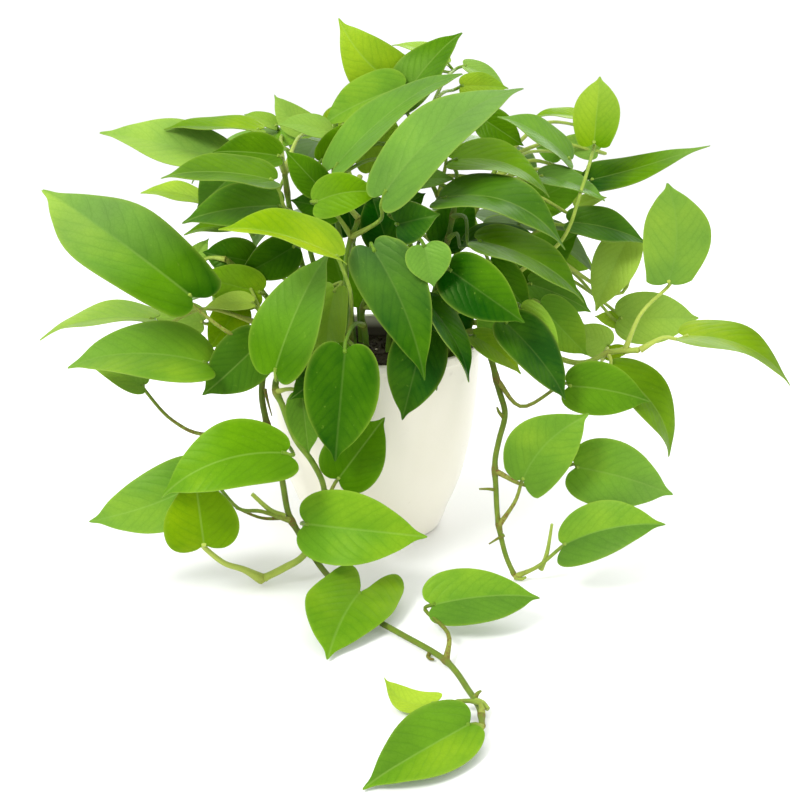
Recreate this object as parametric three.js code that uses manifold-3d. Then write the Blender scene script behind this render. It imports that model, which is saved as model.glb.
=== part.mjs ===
// Potted pothos: a white tapered pot, its soil, and leafy stems that rise, arch over the rim and trail.
// Millimetres, +Z up. The origin is the centre of the pot's flat underside, and -Y is the front.
import * as THREE from "three";
import { mergeVertices } from "three/addons/utils/BufferGeometryUtils.js";
import Module from "manifold-3d";

const wasm = await Module();
wasm.setup();

// Driving dimensions of the pot and the soil
const POT_HEIGHT = 135;
const RIM_RADIUS = 75;
const BASE_RADIUS = 43;
const WALL = 2.4;
const FLOOR = 3;
const LIP_HEIGHT = 6;
const LIP_PROUD = 1.4;
const POT_SIDES = 28;
const SOIL_TOP = 120;
const SOIL_DOME = 3;
const SOIL_GAP = 0.3;
const ROOT_DEPTH = 22;
const HOLE_CLEARANCE = 0.9;
const HOLE_RISE = 12;
const SIDE_HEIGHTS = [17, 46, 76, 100];

// Driving dimensions of the plant
const STEM_RADIUS = 2.2;
const STEM_TIP_RADIUS = 1.6;
const STALK_RADIUS = 1.5;
const STALK_TIP_RADIUS = 1.2;
const BLADE_THICKNESS = 1;
const BLADE_RATIO = 0.56;
const CLEAR_GAP = 0.45;
const FLOOR_GAP = 0.4;
const COLLAR_RISE = 5;
const PLAIN_FOLD = 14;
const PLAIN_LOBE = 0.015;
const PLAIN_ARCH = 0.07;

// How finely the solids are cut
const BLADE_ROWS = 6;
const MIDDLE_BLADE = 95;
const SMALL_BLADE = 58;
const STEM_SIDES = 4;
const STEM_STEP = 17;
const STALK_SIDES = 3;
const STALK_STEP = 34;
const STALK_HOOK = 9;

// The front view in which the leaves were placed: its eye, its downward pitch and its focal length.
// A seen place is [pixels across, pixels down, millimetres nearer than the pot's axis], in an 800 pixel
// frame.
const EYE = new THREE.Vector3(18, -850, 347);
const PITCH = THREE.MathUtils.degToRad(16.8);
const FOCAL_PIXELS = 1270;
const FRAME_CENTRE = 400;

const UP = new THREE.Vector3(0, 0, 1);
const vec = (p) => new THREE.Vector3(...p);

function seen([across, down, near]) {
  const u = (across - FRAME_CENTRE) / FOCAL_PIXELS;
  const v = (FRAME_CENTRE - down) / FOCAL_PIXELS;
  const ray = new THREE.Vector3(
    u,
    Math.cos(PITCH) + v * Math.sin(PITCH),
    v * Math.cos(PITCH) - Math.sin(PITCH),
  );
  return EYE.clone().addScaledVector(ray, (-near - EYE.y) / ray.y);
}

// Finishes
const POT_LOOK = { color: 0xeeeae0, roughness: 0.32 };
const SOIL_LOOK = { color: 0x33271d, roughness: 0.95 };
const LEAF_LOOKS = {
  deep: { color: 0x2f6b1c, roughness: 0.38 },
  mid: { color: 0x4f9427, roughness: 0.4 },
  bright: { color: 0x7ab52c, roughness: 0.42 },
};

// The pot's outer half profile from base to rim: [radius, height]
const POT_PROFILE = [
  [BASE_RADIUS, 0],
  [46.5, 1.6],
  [49.5, 8],
  [52.6, 17],
  [57.4, 28],
  [63.2, 46],
  [69.2, 76],
  [71.6, 100],
  [RIM_RADIUS - LIP_PROUD, POT_HEIGHT - LIP_HEIGHT - 1],
  [RIM_RADIUS, POT_HEIGHT - LIP_HEIGHT],
  [RIM_RADIUS, POT_HEIGHT - 0.8],
  [RIM_RADIUS - 0.8, POT_HEIGHT],
];

// The heart-shaped half outline from the notch to the tip, in shares of the length and of the full width
const HALF_OUTLINE = [
  [0, 0],
  [-0.05, 0.13],
  [-0.035, 0.29],
  [0.06, 0.43],
  [0.21, 0.5],
  [0.4, 0.495],
  [0.58, 0.415],
  [0.745, 0.27],
  [0.885, 0.115],
  [1, 0],
];

// Leafy stems. root: place in the soil. rise: places in millimetres. path: seen places after the rise.
// Leaves: base and tip are seen places, wide is the seen width in pixels, at is the share of the stem
// where the leaf stalk starts, and via lists seen places that the stalk passes. In shares of the length,
// bend bows the blade across the view, arch bows it toward its face and lobe deepens the notch; belly moves
// the widest part toward the tip, skew slides the two halves past each other, and fold is the rise of each
// half in degrees.
const STEMS = [
  {
    name: "stem_long_vine",
    root: [-48, -30],
    rise: [[-55, -35, 143], [-65, -41, 149]],
    path: [[262, 385, 55], [266, 420, 62], [275, 450, 70], [282, 479, 78], [288, 512, 88], [297, 530, 94],
      [318, 563, 102], [334, 582, 118], [350, 595, 132], [374, 618, 163], [401, 634, 184], [430, 650, 204],
      [446, 661, 218], [457, 673, 232], [467, 688, 246], [475, 700, 259], [481, 713, 272], [482, 728, 286]],
    leaves: [
      {
        base: [206, 363, 100], tip: [66, 366, 112],
        wide: 58, at: 0.16, via: [[222, 391, 90]], arch: 0.12,
      },
      {
        base: [143, 385, 82], tip: [84, 359, 88],
        wide: 30, at: 0.24, via: [[207, 442, 80], [172, 420, 80]],
      },
      { base: [285, 453, 150], tip: [160, 497, 165], wide: 68, at: 0.27, bend: 0.08 },
      {
        base: [204, 480, 128], tip: [87, 521, 140],
        wide: 64, at: 0.4, via: [[262, 518, 100], [238, 508, 114]], arch: 0, bend: -0.05,
      },
      { base: [306, 524, 135], tip: [428, 537, 150], wide: 74, at: 0.42 },
      {
        base: [360, 592, 152], tip: [328, 658, 212],
        wide: 86, at: 0.52, lobe: 0.3, arch: 0.02, bend: 0.04, skew: -0.4, belly: -0.1,
      },
      {
        base: [433, 605, 172], tip: [541, 597, 168],
        wide: 56, at: 0.77, via: [[448, 638, 196]], arch: 0.06, bend: 0.02, skew: -0.2,
      },
      {
        base: [434, 703, 264], tip: [384, 676, 252],
        wide: 26, at: 0.97, via: [[480, 706, 268], [458, 701, 264]], arch: -0.04, bend: -0.18,
      },
      { base: [470, 724, 288], tip: [362, 787, 336], wide: 68, at: 1, arch: 0.01, lobe: 0, skew: 0.35 },
    ],
  },
  {
    name: "stem_left_vine",
    look: "bright",
    root: [-32, -47],
    rise: [[-38, -55, 143], [-46, -65, 150]],
    path: [[276, 381, 84], [283, 407, 92], [295, 438, 98], [313, 463, 104], [324, 489, 108],
      [322, 525, 112], [304, 555, 114], [284, 568, 113], [262, 579, 112]],
    leaves: [
      {
        base: [204, 545, 150], tip: [194, 470, 152],
        wide: 74, at: 1, via: [[244, 575, 122], [224, 563, 136]],
      },
      { base: [338, 479, 112], tip: [385, 417, 104], wide: 62, at: 0.7 },
      { base: [302, 395, 104], tip: [309, 455, 112], wide: 36, at: 0.35 },
    ],
  },
  {
    name: "stem_left_low",
    root: [-54, -12],
    rise: [[-62, -22, 148], [-72, -42, 156], [-76, -62, 156]],
    leaves: [
      {
        base: [192, 297, 108], tip: [43, 187, 122],
        wide: 84, at: 1, via: [[232, 340, 96]], fold: 8, arch: -0.02, belly: 0.3, bend: 0.02, skew: 0.35,
      },
      { base: [152, 319, 60], tip: [38, 338, 66], wide: 20, at: 0.8, arch: 0.05, bend: 0.03 },
      { base: [262, 340, 62], tip: [202, 396, 72], wide: 58, at: 0.6 },
      { base: [202, 322, 26], tip: [147, 309, 28], wide: 34, at: 0.7 },
    ],
  },
  {
    name: "stem_left_mid",
    look: "deep",
    root: [-58, 8],
    rise: [[-68, 4, 155], [-84, -6, 178], [-98, -12, 192]],
    leaves: [
      { base: [260, 292, 36], tip: [194, 276, 40], wide: 44, at: 0.9 },
      { base: [252, 303, 52], tip: [203, 308, 56], wide: 18, at: 0.8 },
      { base: [240, 306, 46], tip: [208, 350, 52], wide: 38, at: 0.7 },
      { base: [189, 268, 0], tip: [209, 238, -4], wide: 20, at: 1 },
      { base: [254, 262, 8], tip: [202, 252, 4], wide: 42, at: 0.9 },
    ],
  },
  {
    name: "stem_left_high",
    root: [-44, 22],
    rise: [[-52, 20, 160], [-68, 12, 205], [-84, 6, 240]],
    leaves: [
      { base: [280, 206, 52], tip: [181, 222, 64], wide: 42, at: 0.85 },
      { base: [246, 227, 40], tip: [183, 234, 44], wide: 16, at: 0.8 },
      { base: [236, 172, 28], tip: [197, 208, 34], wide: 46, at: 0.95 },
      { base: [200, 199, 22], tip: [140, 192, 24], wide: 18, at: 1 },
      { base: [224, 158, -14], tip: [99, 130, 0], wide: 44, at: 1, arch: 0 },
    ],
  },
  {
    name: "stem_top_left",
    look: "bright",
    root: [-36, -8],
    rise: [[-42, -12, 165], [-52, -22, 215], [-56, -30, 252]],
    leaves: [
      { base: [272, 180, 76], tip: [160, 176, 90], wide: 30, at: 0.8, via: [[284, 212, 62]], arch: 0.06 },
      { base: [279, 156, 44], tip: [212, 152, 46], wide: 34, at: 0.95, fold: 26 },
      { base: [259, 130, -28], tip: [163, 127, -18], wide: 14, at: 1, arch: 0.02 },
      { base: [276, 126, -44], tip: [244, 114, -48], wide: 14, at: 0.9 },
      { base: [314, 130, -38], tip: [274, 94, -44], wide: 30, at: 1, bend: -0.12 },
    ],
  },
  {
    name: "stem_top_mid",
    look: "bright",
    root: [-14, 12],
    rise: [[-18, 12, 170], [-26, 8, 230], [-24, 4, 290]],
    leaves: [
      { base: [404, 87, 0], tip: [320, 126, 12], wide: 44, at: 0.95 },
      { base: [412, 92, -22], tip: [338, 17, -22], wide: 58, at: 1, fold: 8, bend: -0.1 },
      { base: [330, 128, -48], tip: [340, 103, -54], wide: 22, at: 0.9 },
      { base: [330, 132, 22], tip: [277, 124, 32], wide: 22, at: 0.85 },
      { base: [322, 160, 32], tip: [346, 122, 26], wide: 26, at: 0.8 },
      { base: [446, 62, -82], tip: [392, 44, -90], wide: 12, at: 1 },
    ],
  },
  {
    name: "stem_top_right",
    root: [10, 10],
    rise: [[14, 8, 170], [22, -2, 230], [28, -8, 275]],
    leaves: [
      { base: [400, 104, 2], tip: [462, 31, -4], wide: 42, at: 1 },
      { base: [336, 166, 46], tip: [462, 70, 14], wide: 32, at: 0.8, belly: 0.2, ratio: 0.36 },
      { base: [462, 86, -46], tip: [509, 88, -50], wide: 24, at: 0.95, arch: 0, bend: 0.02 },
      { base: [465, 66, -82], tip: [507, 88, -88], wide: 14, at: 0.9, arch: 0, bend: 0.04 },
      { base: [345, 150, -8], tip: [381, 113, -14], wide: 28, at: 0.85 },
      { base: [482, 118, 0], tip: [524, 146, 6], wide: 34, at: 0.75 },
    ],
  },
  {
    name: "stem_front_high",
    root: [-14, -30],
    rise: [[-16, -38, 160], [-16, -50, 200], [-8, -56, 226]],
    leaves: [
      {
        base: [384, 194, 96], tip: [524, 85, 70],
        wide: 56, at: 0.9, via: [[380, 226, 78]], fold: 10, ratio: 0.4, bend: 0.04,
      },
      { base: [316, 202, 72], tip: [383, 193, 78], wide: 42, at: 0.8, bend: 0.08 },
      { base: [322, 190, 42], tip: [285, 150, 44], wide: 34, at: 1 },
      {
        base: [338, 257, 128], tip: [218, 227, 142],
        wide: 34, at: 0.3, via: [[351, 308, 112]], fold: 24,
      },
    ],
  },
  {
    name: "stem_front_left",
    root: [-34, -28],
    rise: [[-38, -38, 148], [-46, -54, 162], [-52, -70, 166]],
    leaves: [
      { base: [275, 371, 116], tip: [328, 251, 98], wide: 64, at: 1 },
      { base: [335, 290, 84], tip: [328, 379, 84], wide: 40, at: 0.8 },
      { base: [350, 355, 112], tip: [289, 400, 114], wide: 46, at: 0.6 },
    ],
  },
  {
    name: "stem_front_mid",
    look: "deep",
    root: [-4, -50],
    rise: [[-4, -58, 150], [-6, -68, 168], [0, -76, 188]],
    leaves: [
      {
        base: [373, 249, 104], tip: [425, 382, 124],
        wide: 66, at: 1, ratio: 0.45, bend: 0.05, belly: -0.25,
      },
      { base: [345, 350, 128], tip: [335, 463, 134], wide: 74, at: 0.5 },
      { base: [424, 334, 92], tip: [402, 421, 104], wide: 58, at: 0.7 },
    ],
  },
  {
    name: "stem_centre",
    look: "deep",
    root: [14, -34],
    rise: [[18, -42, 155], [24, -54, 185], [26, -62, 205]],
    leaves: [
      { base: [398, 224, 92], tip: [440, 214, 104], wide: 44, at: 1, fold: 28 },
      { base: [424, 246, 112], tip: [434, 287, 118], wide: 46, at: 0.9, fold: 20 },
      { base: [394, 212, 74], tip: [426, 193, 70], wide: 26, at: 1 },
      { base: [425, 300, 104], tip: [471, 382, 116], wide: 40, at: 0.7 },
      { base: [415, 320, 84], tip: [438, 391, 92], wide: 30, at: 0.5 },
    ],
  },
  {
    name: "stem_right_high",
    root: [32, -18],
    rise: [[38, -24, 160], [48, -36, 205], [54, -44, 240]],
    leaves: [
      { base: [444, 198, 86], tip: [567, 248, 106], wide: 42, at: 1, arch: 0.18 },
      { base: [466, 242, 68], tip: [551, 252, 76], wide: 24, at: 0.8, arch: 0.12 },
      { base: [479, 241, 88], tip: [586, 301, 102], wide: 36, at: 0.85, arch: 0.1 },
      { base: [402, 184, 64], tip: [456, 179, 70], wide: 26, at: 0.95 },
      { base: [455, 160, 66], tip: [551, 196, 62], wide: 38, at: 1, arch: 0.16 },
    ],
  },
  {
    name: "stem_right_up",
    root: [40, 18],
    rise: [[48, 16, 165], [66, 8, 215], [84, 2, 255]],
    leaves: [
      {
        base: [594, 143, 20], tip: [600, 76, 22],
        wide: 46, at: 0.1, via: [[538, 286, 36], [562, 240, 42], [582, 188, 42]], arch: 0.02, belly: 0.3,
      },
      { base: [585, 119, -62], tip: [531, 117, -60], wide: 10, at: 1 },
      { base: [569, 159, 16], tip: [498, 115, 24], wide: 24, at: 0.85 },
      { base: [597, 151, -30], tip: [560, 137, -34], wide: 24, at: 0.95 },
      { base: [561, 152, -60], tip: [535, 147, -62], wide: 24, at: 0.9 },
      {
        base: [590, 180, -8], tip: [711, 143, 10],
        wide: 31, at: 0.9, ratio: 0.34, arch: 0, fold: 6, belly: -0.7, bend: -0.02,
      },
      { base: [541, 176, 32], tip: [606, 200, 36], wide: 20, at: 0.75 },
      { base: [576, 206, -14], tip: [607, 197, -16], wide: 14, at: 0.8 },
    ],
  },
  {
    name: "stem_right_mid",
    look: "deep",
    root: [30, -42],
    rise: [[36, -52, 150], [46, -66, 166], [56, -76, 174]],
    leaves: [
      { base: [450, 270, 104], tip: [525, 323, 118], wide: 58, at: 1 },
      { base: [505, 322, 92], tip: [567, 400, 100], wide: 46, at: 0.85 },
      { base: [520, 309, 84], tip: [557, 374, 94], wide: 44, at: 0.9 },
      { base: [474, 336, 76], tip: [522, 374, 82], wide: 26, at: 0.6 },
    ],
  },
  {
    name: "stem_right_back",
    root: [56, 4],
    rise: [[66, 2, 155], [84, -2, 185], [104, -4, 205]],
    leaves: [
      { base: [570, 222, 8], tip: [648, 243, 12], wide: 32, at: 1 },
      { base: [628, 238, -4], tip: [595, 312, 2], wide: 44, at: 1, via: [[618, 300, -8]] },
      { base: [556, 252, -40], tip: [595, 268, -42], wide: 26, at: 0.9 },
      { base: [608, 346, 2], tip: [568, 328, 4], wide: 34, at: 0.5 },
      { base: [530, 284, 20], tip: [592, 312, 22], wide: 34, at: 0.6 },
      { base: [540, 306, 36], tip: [588, 356, 40], wide: 46, at: 0.4 },
      { base: [626, 322, -30], tip: [594, 316, -32], wide: 18, at: 0.7 },
      { base: [620, 318, -22], tip: [700, 318, -20], wide: 52, at: 0.8 },
    ],
  },
  {
    name: "stem_right_low",
    look: "bright",
    root: [50, -20],
    rise: [[60, -26, 148], [76, -34, 152]],
    path: [[571, 362, 48], [611, 352, 52], [640, 350, 54]],
    leaves: [
      {
        base: [668, 283, 56], tip: [667, 183, 62],
        wide: 66, at: 0.85, via: [[641, 318, 54]], fold: 8, arch: 0, bend: 0.09, belly: 0.35, lobe: -0.04,
      },
      { base: [685, 336, 56], tip: [792, 384, 70], wide: 28, at: 1, arch: 0.14 },
      { base: [614, 370, 58], tip: [671, 457, 64], wide: 38, at: 0.8, arch: 0.16 },
      { base: [606, 356, 20], tip: [634, 348, 20], wide: 14, at: 0.75 },
    ],
  },
  {
    name: "stem_right_vine",
    root: [46, -36],
    rise: [[56, -38, 144], [68, -41, 149]],
    path: [[490, 356, 52], [499, 390, 60], [505, 414, 68], [499, 440, 76], [495, 462, 82], [496, 490, 88],
      [498, 520, 94], [505, 553, 98], [515, 577, 102]],
    leaves: [
      {
        base: [569, 386, 72], tip: [651, 402, 78],
        wide: 54, at: 0.42, via: [[522, 411, 70]], arch: 0.03, bend: 0.04,
      },
      {
        base: [523, 480, 106], tip: [589, 414, 120],
        wide: 66, at: 0.86, via: [[515, 505, 98]], bend: 0.09, belly: 0.18, skew: -0.06,
      },
      {
        base: [576, 467, 100], tip: [674, 495, 116],
        wide: 68, at: 0.7, via: [[530, 490, 94]], arch: 0.02, bend: 0.03,
      },
      {
        base: [564, 545, 118], tip: [666, 524, 134],
        wide: 54, at: 1, via: [[538, 570, 108]], bend: 0.05, skew: 0.2,
      },
    ],
  },
];

// Stems on the far side: inner leaves that show between the front ones, then a fan of leaves by a rule
const FAR_STEMS = [
  {
    name: "stem_far_left",
    look: "deep",
    root: [-34, 44],
    bearing: 152,
    leaves: [
      { base: [294, 246, 22], tip: [238, 276, 28], wide: 44, at: 0.9 },
      { base: [264, 204, 6], tip: [206, 182, 4], wide: 40, at: 1 },
      { base: [338, 210, 34], tip: [290, 200, 38], wide: 34, at: 1 },
    ],
  },
  {
    name: "stem_far_mid_left",
    look: "deep",
    root: [-10, 42],
    bearing: 112,
    leaves: [
      { base: [388, 246, 40], tip: [370, 190, 34], wide: 44, at: 0.9 },
      { base: [350, 306, 16], tip: [330, 246, 8], wide: 52, at: 0.7 },
      { base: [352, 232, 0], tip: [344, 168, -20], wide: 44, at: 1 },
    ],
  },
  {
    name: "stem_far_mid_right",
    look: "deep",
    root: [14, 44],
    bearing: 70,
    leaves: [
      { base: [372, 172, -20], tip: [394, 112, -28], wide: 44, at: 1 },
      { base: [440, 244, 30], tip: [474, 196, 24], wide: 46, at: 0.9 },
      { base: [436, 336, 26], tip: [462, 278, 18], wide: 56, at: 0.7 },
    ],
  },
  {
    name: "stem_far_right",
    look: "deep",
    root: [38, 42],
    bearing: 30,
    leaves: [
      { base: [516, 268, -6], tip: [580, 232, -18], wide: 46, at: 0.9 },
      { base: [524, 206, -28], tip: [592, 172, -38], wide: 44, at: 1 },
      { base: [506, 348, 40], tip: [478, 298, 34], wide: 46, at: 0.7 },
      { base: [490, 262, 14], tip: [530, 312, 10], wide: 40, at: 0.8 },
    ],
  },
];
const FAN_LENGTH = 92;
const FAN_TURNS = [26, -24, 2];
const FAN_HEIGHTS = [168, 212, 262];
const FAN_REACH = 92;
const FAN_STEP = 14;
const FAN_DROOP = 44;

// Solids
function solidFrom(places, triangles) {
  const solid = new wasm.Manifold(
    new wasm.Mesh({
      numProp: 3,
      vertProperties: new Float32Array(places.flatMap((p) => p.toArray())),
      triVerts: new Uint32Array(triangles.flat()),
    }),
  );
  if (solid.volume() > 0) return solid;
  return solidFrom(places, triangles.map(([a, b, c]) => [a, c, b]));
}

function solidOf(geometry) {
  geometry.deleteAttribute("normal");
  geometry.deleteAttribute("uv");
  const merged = mergeVertices(geometry, 1e-4);
  const { array } = merged.attributes.position;
  const places = Array.from({ length: array.length / 3 }, (_, i) => vec(array.slice(i * 3, i * 3 + 3)));
  const triangles = Array.from({ length: merged.index.count / 3 }, (_, i) =>
    Array.from(merged.index.array.slice(i * 3, i * 3 + 3)),
  );
  return solidFrom(places, triangles.filter(([a, b, c]) => a !== b && b !== c && c !== a));
}

function geometryOf(solid) {
  const { numProp, numVert, vertProperties, triVerts } = solid.getMesh();
  const places = new Float32Array(numVert * 3);
  for (let i = 0; i < numVert; i++) {
    places.set(vertProperties.subarray(i * numProp, i * numProp + 3), i * 3);
  }
  const geometry = new THREE.BufferGeometry();
  geometry.setAttribute("position", new THREE.BufferAttribute(places, 3));
  geometry.setIndex(new THREE.BufferAttribute(new Uint32Array(triVerts), 1));
  geometry.computeVertexNormals();
  return geometry;
}

function lathe(profile, sides) {
  const points = profile.map(([r, z]) => new THREE.Vector2(r, z));
  return new THREE.LatheGeometry(points, sides).rotateX(Math.PI / 2);
}

// A limb is a closed tapered tube round a line of places, its cross-section carried along without twist.
function limb(line, startRadius, endRadius, sides) {
  const places = [];
  const triangles = [];
  let across = new THREE.Vector3(1, 0, 0);
  line.forEach((place, i) => {
    const ahead = line[Math.min(i + 1, line.length - 1)].clone().sub(line[Math.max(i - 1, 0)]).normalize();
    if (!i && Math.abs(ahead.x) > 0.8) across.set(0, 1, 0);
    across = across.clone().addScaledVector(ahead, -across.dot(ahead)).normalize();
    const other = ahead.clone().cross(across);
    const radius = startRadius + ((endRadius - startRadius) * i) / (line.length - 1);
    for (let k = 0; k < sides; k++) {
      const turn = (2 * Math.PI * k) / sides;
      const offset = across.clone().multiplyScalar(Math.cos(turn)).addScaledVector(other, Math.sin(turn));
      places.push(place.clone().addScaledVector(offset, radius));
    }
  });
  for (let i = 0; i + 1 < line.length; i++) {
    for (let k = 0; k < sides; k++) {
      const [a, b] = [i * sides + k, i * sides + ((k + 1) % sides)];
      triangles.push([a, b, b + sides], [a, b + sides, a + sides]);
    }
  }
  const last = (line.length - 1) * sides;
  for (let k = 1; k + 1 < sides; k++) {
    triangles.push([0, k + 1, k], [last, last + k, last + k + 1]);
  }
  return solidFrom(places, triangles);
}

function smoothLine(points, steps) {
  return new THREE.CatmullRomCurve3(points, false, "catmullrom", 0.5).getPoints(steps);
}

// Pot and soil
function potRadius(z) {
  const above = Math.max(POT_PROFILE.findIndex(([, height]) => height >= z), 1);
  const [[r0, z0], [r1, z1]] = [POT_PROFILE[above - 1], POT_PROFILE[above]];
  return r0 + ((r1 - r0) * (z - z0)) / (z1 - z0);
}

function potSolid() {
  const inner = [FLOOR, ...SIDE_HEIGHTS].map((z) => [potRadius(z) - WALL, z]);
  const mouth = [RIM_RADIUS - LIP_PROUD - WALL, POT_HEIGHT];
  return solidOf(lathe([[0, 0], ...POT_PROFILE, mouth, ...inner.reverse(), [0, FLOOR]], POT_SIDES));
}

function soilSolid(roots) {
  const side = SIDE_HEIGHTS.map((z) => [potRadius(z) - WALL - SOIL_GAP - 0.1, z]);
  const top = [potRadius(SOIL_TOP) - WALL - SOIL_GAP - 0.4, SOIL_TOP];
  const low = [potRadius(FLOOR) - WALL - SOIL_GAP - 0.2, FLOOR + SOIL_GAP];
  const dome = [[46, SOIL_TOP + SOIL_DOME * 0.7], [0, SOIL_TOP + SOIL_DOME]];
  const holeRadius = STEM_RADIUS + HOLE_CLEARANCE;
  let soil = solidOf(lathe([[0, low[1]], low, ...side, top, ...dome], POT_SIDES));
  for (const [x, y] of roots) {
    const height = ROOT_DEPTH + HOLE_RISE;
    const hole = new THREE.CylinderGeometry(holeRadius, holeRadius, height, 6);
    hole.rotateX(Math.PI / 2).translate(x, y, SOIL_TOP - ROOT_DEPTH - SOIL_GAP + height / 2);
    soil = soil.subtract(solidOf(hole));
  }
  return soil;
}

// Leaf blades
function outlineAt(u) {
  const last = HALF_OUTLINE.length - 1;
  const cell = Math.min(Math.floor(u * last), last - 1);
  const t = u * last - cell;
  const at = (i, axis) => {
    if (i < 0) return 2 * HALF_OUTLINE[0][axis] - HALF_OUTLINE[1][axis];
    if (i > last) return 2 * HALF_OUTLINE[last][axis] - HALF_OUTLINE[last - 1][axis];
    return HALF_OUTLINE[i][axis];
  };
  return [0, 1].map((axis) => {
    const [p0, p1, p2, p3] = [-1, 0, 1, 2].map((step) => at(cell + step, axis));
    const [m1, m2] = [(p2 - p0) / 2, (p3 - p1) / 2];
    return p1 + m1 * t + (3 * (p2 - p1) - 2 * m1 - m2) * t * t + (2 * (p1 - p2) + m1 + m2) * t * t * t;
  });
}

// The frame of a blade: its notch, its way to the tip, its upper side, its length and its width
function bladeFrame(leaf, shift, lean) {
  const nearer = ([across, down, near]) =>
    leaf.far ? vec([across, down, near]) : seen([across, down, near + shift]);
  const base = nearer(leaf.base);
  const tip = nearer(leaf.tip);
  if (leaf.far) [base, tip].forEach((p) => p.addScaledVector(leaf.far, shift));
  const length = base.distanceTo(tip);
  const along = tip.clone().sub(base).divideScalar(length);
  const middle = base.clone().lerp(tip, 0.5);
  const sight = EYE.clone().sub(middle);
  const pixel = (-(sight.y * Math.cos(PITCH)) + sight.z * Math.sin(PITCH)) / FOCAL_PIXELS;
  const toward = leaf.far ? leaf.far.clone().add(UP) : sight.normalize();
  const facing = toward.addScaledVector(along, -toward.dot(along)).normalize();
  const side = facing.clone().cross(along);
  const outward = new THREE.Vector3(middle.x, middle.y, 0).normalize().multiplyScalar(0.35).add(UP);
  if (side.dot(outward) < 0) side.negate();
  const seenWidth = leaf.far ? BLADE_RATIO * length : leaf.wide * pixel;
  const width = Math.max((leaf.ratio ?? BLADE_RATIO) * length, seenWidth);
  const roll = Math.acos(Math.min(seenWidth / width, 1)) + THREE.MathUtils.degToRad(lean);
  const normal = facing.multiplyScalar(Math.cos(roll)).addScaledVector(side, Math.sin(roll));
  return { base, along, normal, side, across: normal.clone().cross(along), length, width, leaf };
}

function bladePlace(frame, u, v, grow = 0) {
  const [heart, half] = outlineAt(u);
  const full = heart > 0 ? heart ** (1 - (frame.leaf.belly ?? 0)) : heart;
  const edge = full - (frame.leaf.lobe ?? PLAIN_LOBE) * Math.sin(Math.PI * Math.min(u / 0.45, 1));
  const spine = u * u * (1.6 - 0.6 * u);
  const x = (spine + (edge - spine) * Math.abs(v)) * frame.length;
  const y = v * (half * frame.width + (half > 0 ? grow : 0));
  const along = x + y * (frame.leaf.skew ?? 0);
  const share = Math.min(Math.max(x / frame.length, -0.1), 1);
  const hump = 4 * share * (1 - share) * frame.length;
  const fold = Math.abs(y) * Math.tan(THREE.MathUtils.degToRad(frame.leaf.fold ?? PLAIN_FOLD));
  return frame.base
    .clone()
    .addScaledVector(frame.along, along)
    .addScaledVector(frame.across, y)
    .addScaledVector(frame.side, hump * (frame.leaf.bend ?? 0))
    .addScaledVector(frame.normal, hump * (frame.leaf.arch ?? PLAIN_ARCH) + fold);
}

// Rows gather where the outline turns most: round the lobes and near the tip.
const rowShare = (i, rows) => i / rows - 0.045 * Math.sin((2 * Math.PI * i) / rows);

function bladeSolid(frame, grow = 0) {
  const offset = frame.normal.clone().multiplyScalar(BLADE_THICKNESS / 2 + grow);
  const rows = BLADE_ROWS - (frame.length < MIDDLE_BLADE) - (frame.length < SMALL_BLADE);
  const rim = [[0, 0]];
  for (let i = 1; i < rows; i++) rim.push([i, 1]);
  rim.push([rows, 0]);
  for (let i = rows - 1; i > 0; i--) rim.push([i, -1]);
  const spots = [...rim];
  for (let i = 1; i < rows; i++) spots.push([i, 0]);
  const index = new Map(spots.map(([i, v], k) => [`${i},${v}`, k]));
  const spot = (i, v) => index.get(`${i},${i === 0 || i === rows ? 0 : v}`);
  const middle = spots.map(([i, v]) => bladePlace(frame, rowShare(i, rows), v, grow));
  const places = [...middle.map((p) => p.clone().add(offset)), ...middle.map((p) => p.clone().sub(offset))];
  const faces = [];
  for (const v of [1, -1]) {
    for (let i = 0; i < rows; i++) {
      const quad = [spot(i, 0), spot(i + 1, 0), spot(i + 1, v), spot(i, v)];
      if (v < 0) quad.reverse();
      for (const face of [[quad[0], quad[1], quad[2]], [quad[0], quad[2], quad[3]]]) {
        if (new Set(face).size === 3) faces.push(face);
      }
    }
  }
  const under = spots.length;
  const triangles = [...faces, ...faces.map(([a, b, c]) => [c + under, b + under, a + under])];
  rim.forEach((_, k) => {
    const next = (k + 1) % rim.length;
    triangles.push([k, next, k + under], [next, next + under, k + under]);
  });
  return solidFrom(places, triangles);
}

// Leaf stalks: the ways in which a stalk may bow between the stem and the blade, in shares of its length
const BOWS = [
  [0, 0, 0.12],
  [0, 0, 0.25],
  [0.14, 0, 0.1],
  [-0.14, 0, 0.1],
  [0, -0.15, 0.1],
  [0, 0.15, 0.1],
  [0, 0, -0.08],
  [0.2, 0.12, 0.15],
  [-0.2, 0.12, 0.15],
  [0.2, -0.15, 0.15],
  [-0.2, -0.15, 0.15],
  [0, 0.3, 0.2],
  [0, -0.3, 0.2],
  [0.32, 0, 0.25],
  [-0.32, 0, 0.25],
  [0, 0, 0.42],
];

function stalkLine(stemLine, frame, bow) {
  const { leaf } = frame;
  const start = stemLine[Math.round(leaf.at * (stemLine.length - 1))];
  const reach = start.distanceTo(frame.base);
  const points = [start];
  if (leaf.via) points.push(...leaf.via.map(seen));
  else points.push(start.clone().lerp(frame.base, 0.5));
  points[1].addScaledVector(vec(bow), leaf.via ? reach * 0.5 : reach);
  const behind = Math.min(STALK_HOOK, reach * 0.2);
  points.push(
    frame.base
      .clone()
      .addScaledVector(frame.normal, -behind * 0.7)
      .addScaledVector(frame.along, -behind * 0.5),
    bladePlace(frame, 0.12, 0).addScaledVector(frame.normal, 0.6),
  );
  return smoothLine(points, Math.min(Math.max(Math.round(reach / STALK_STEP), 2), 5));
}

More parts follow.
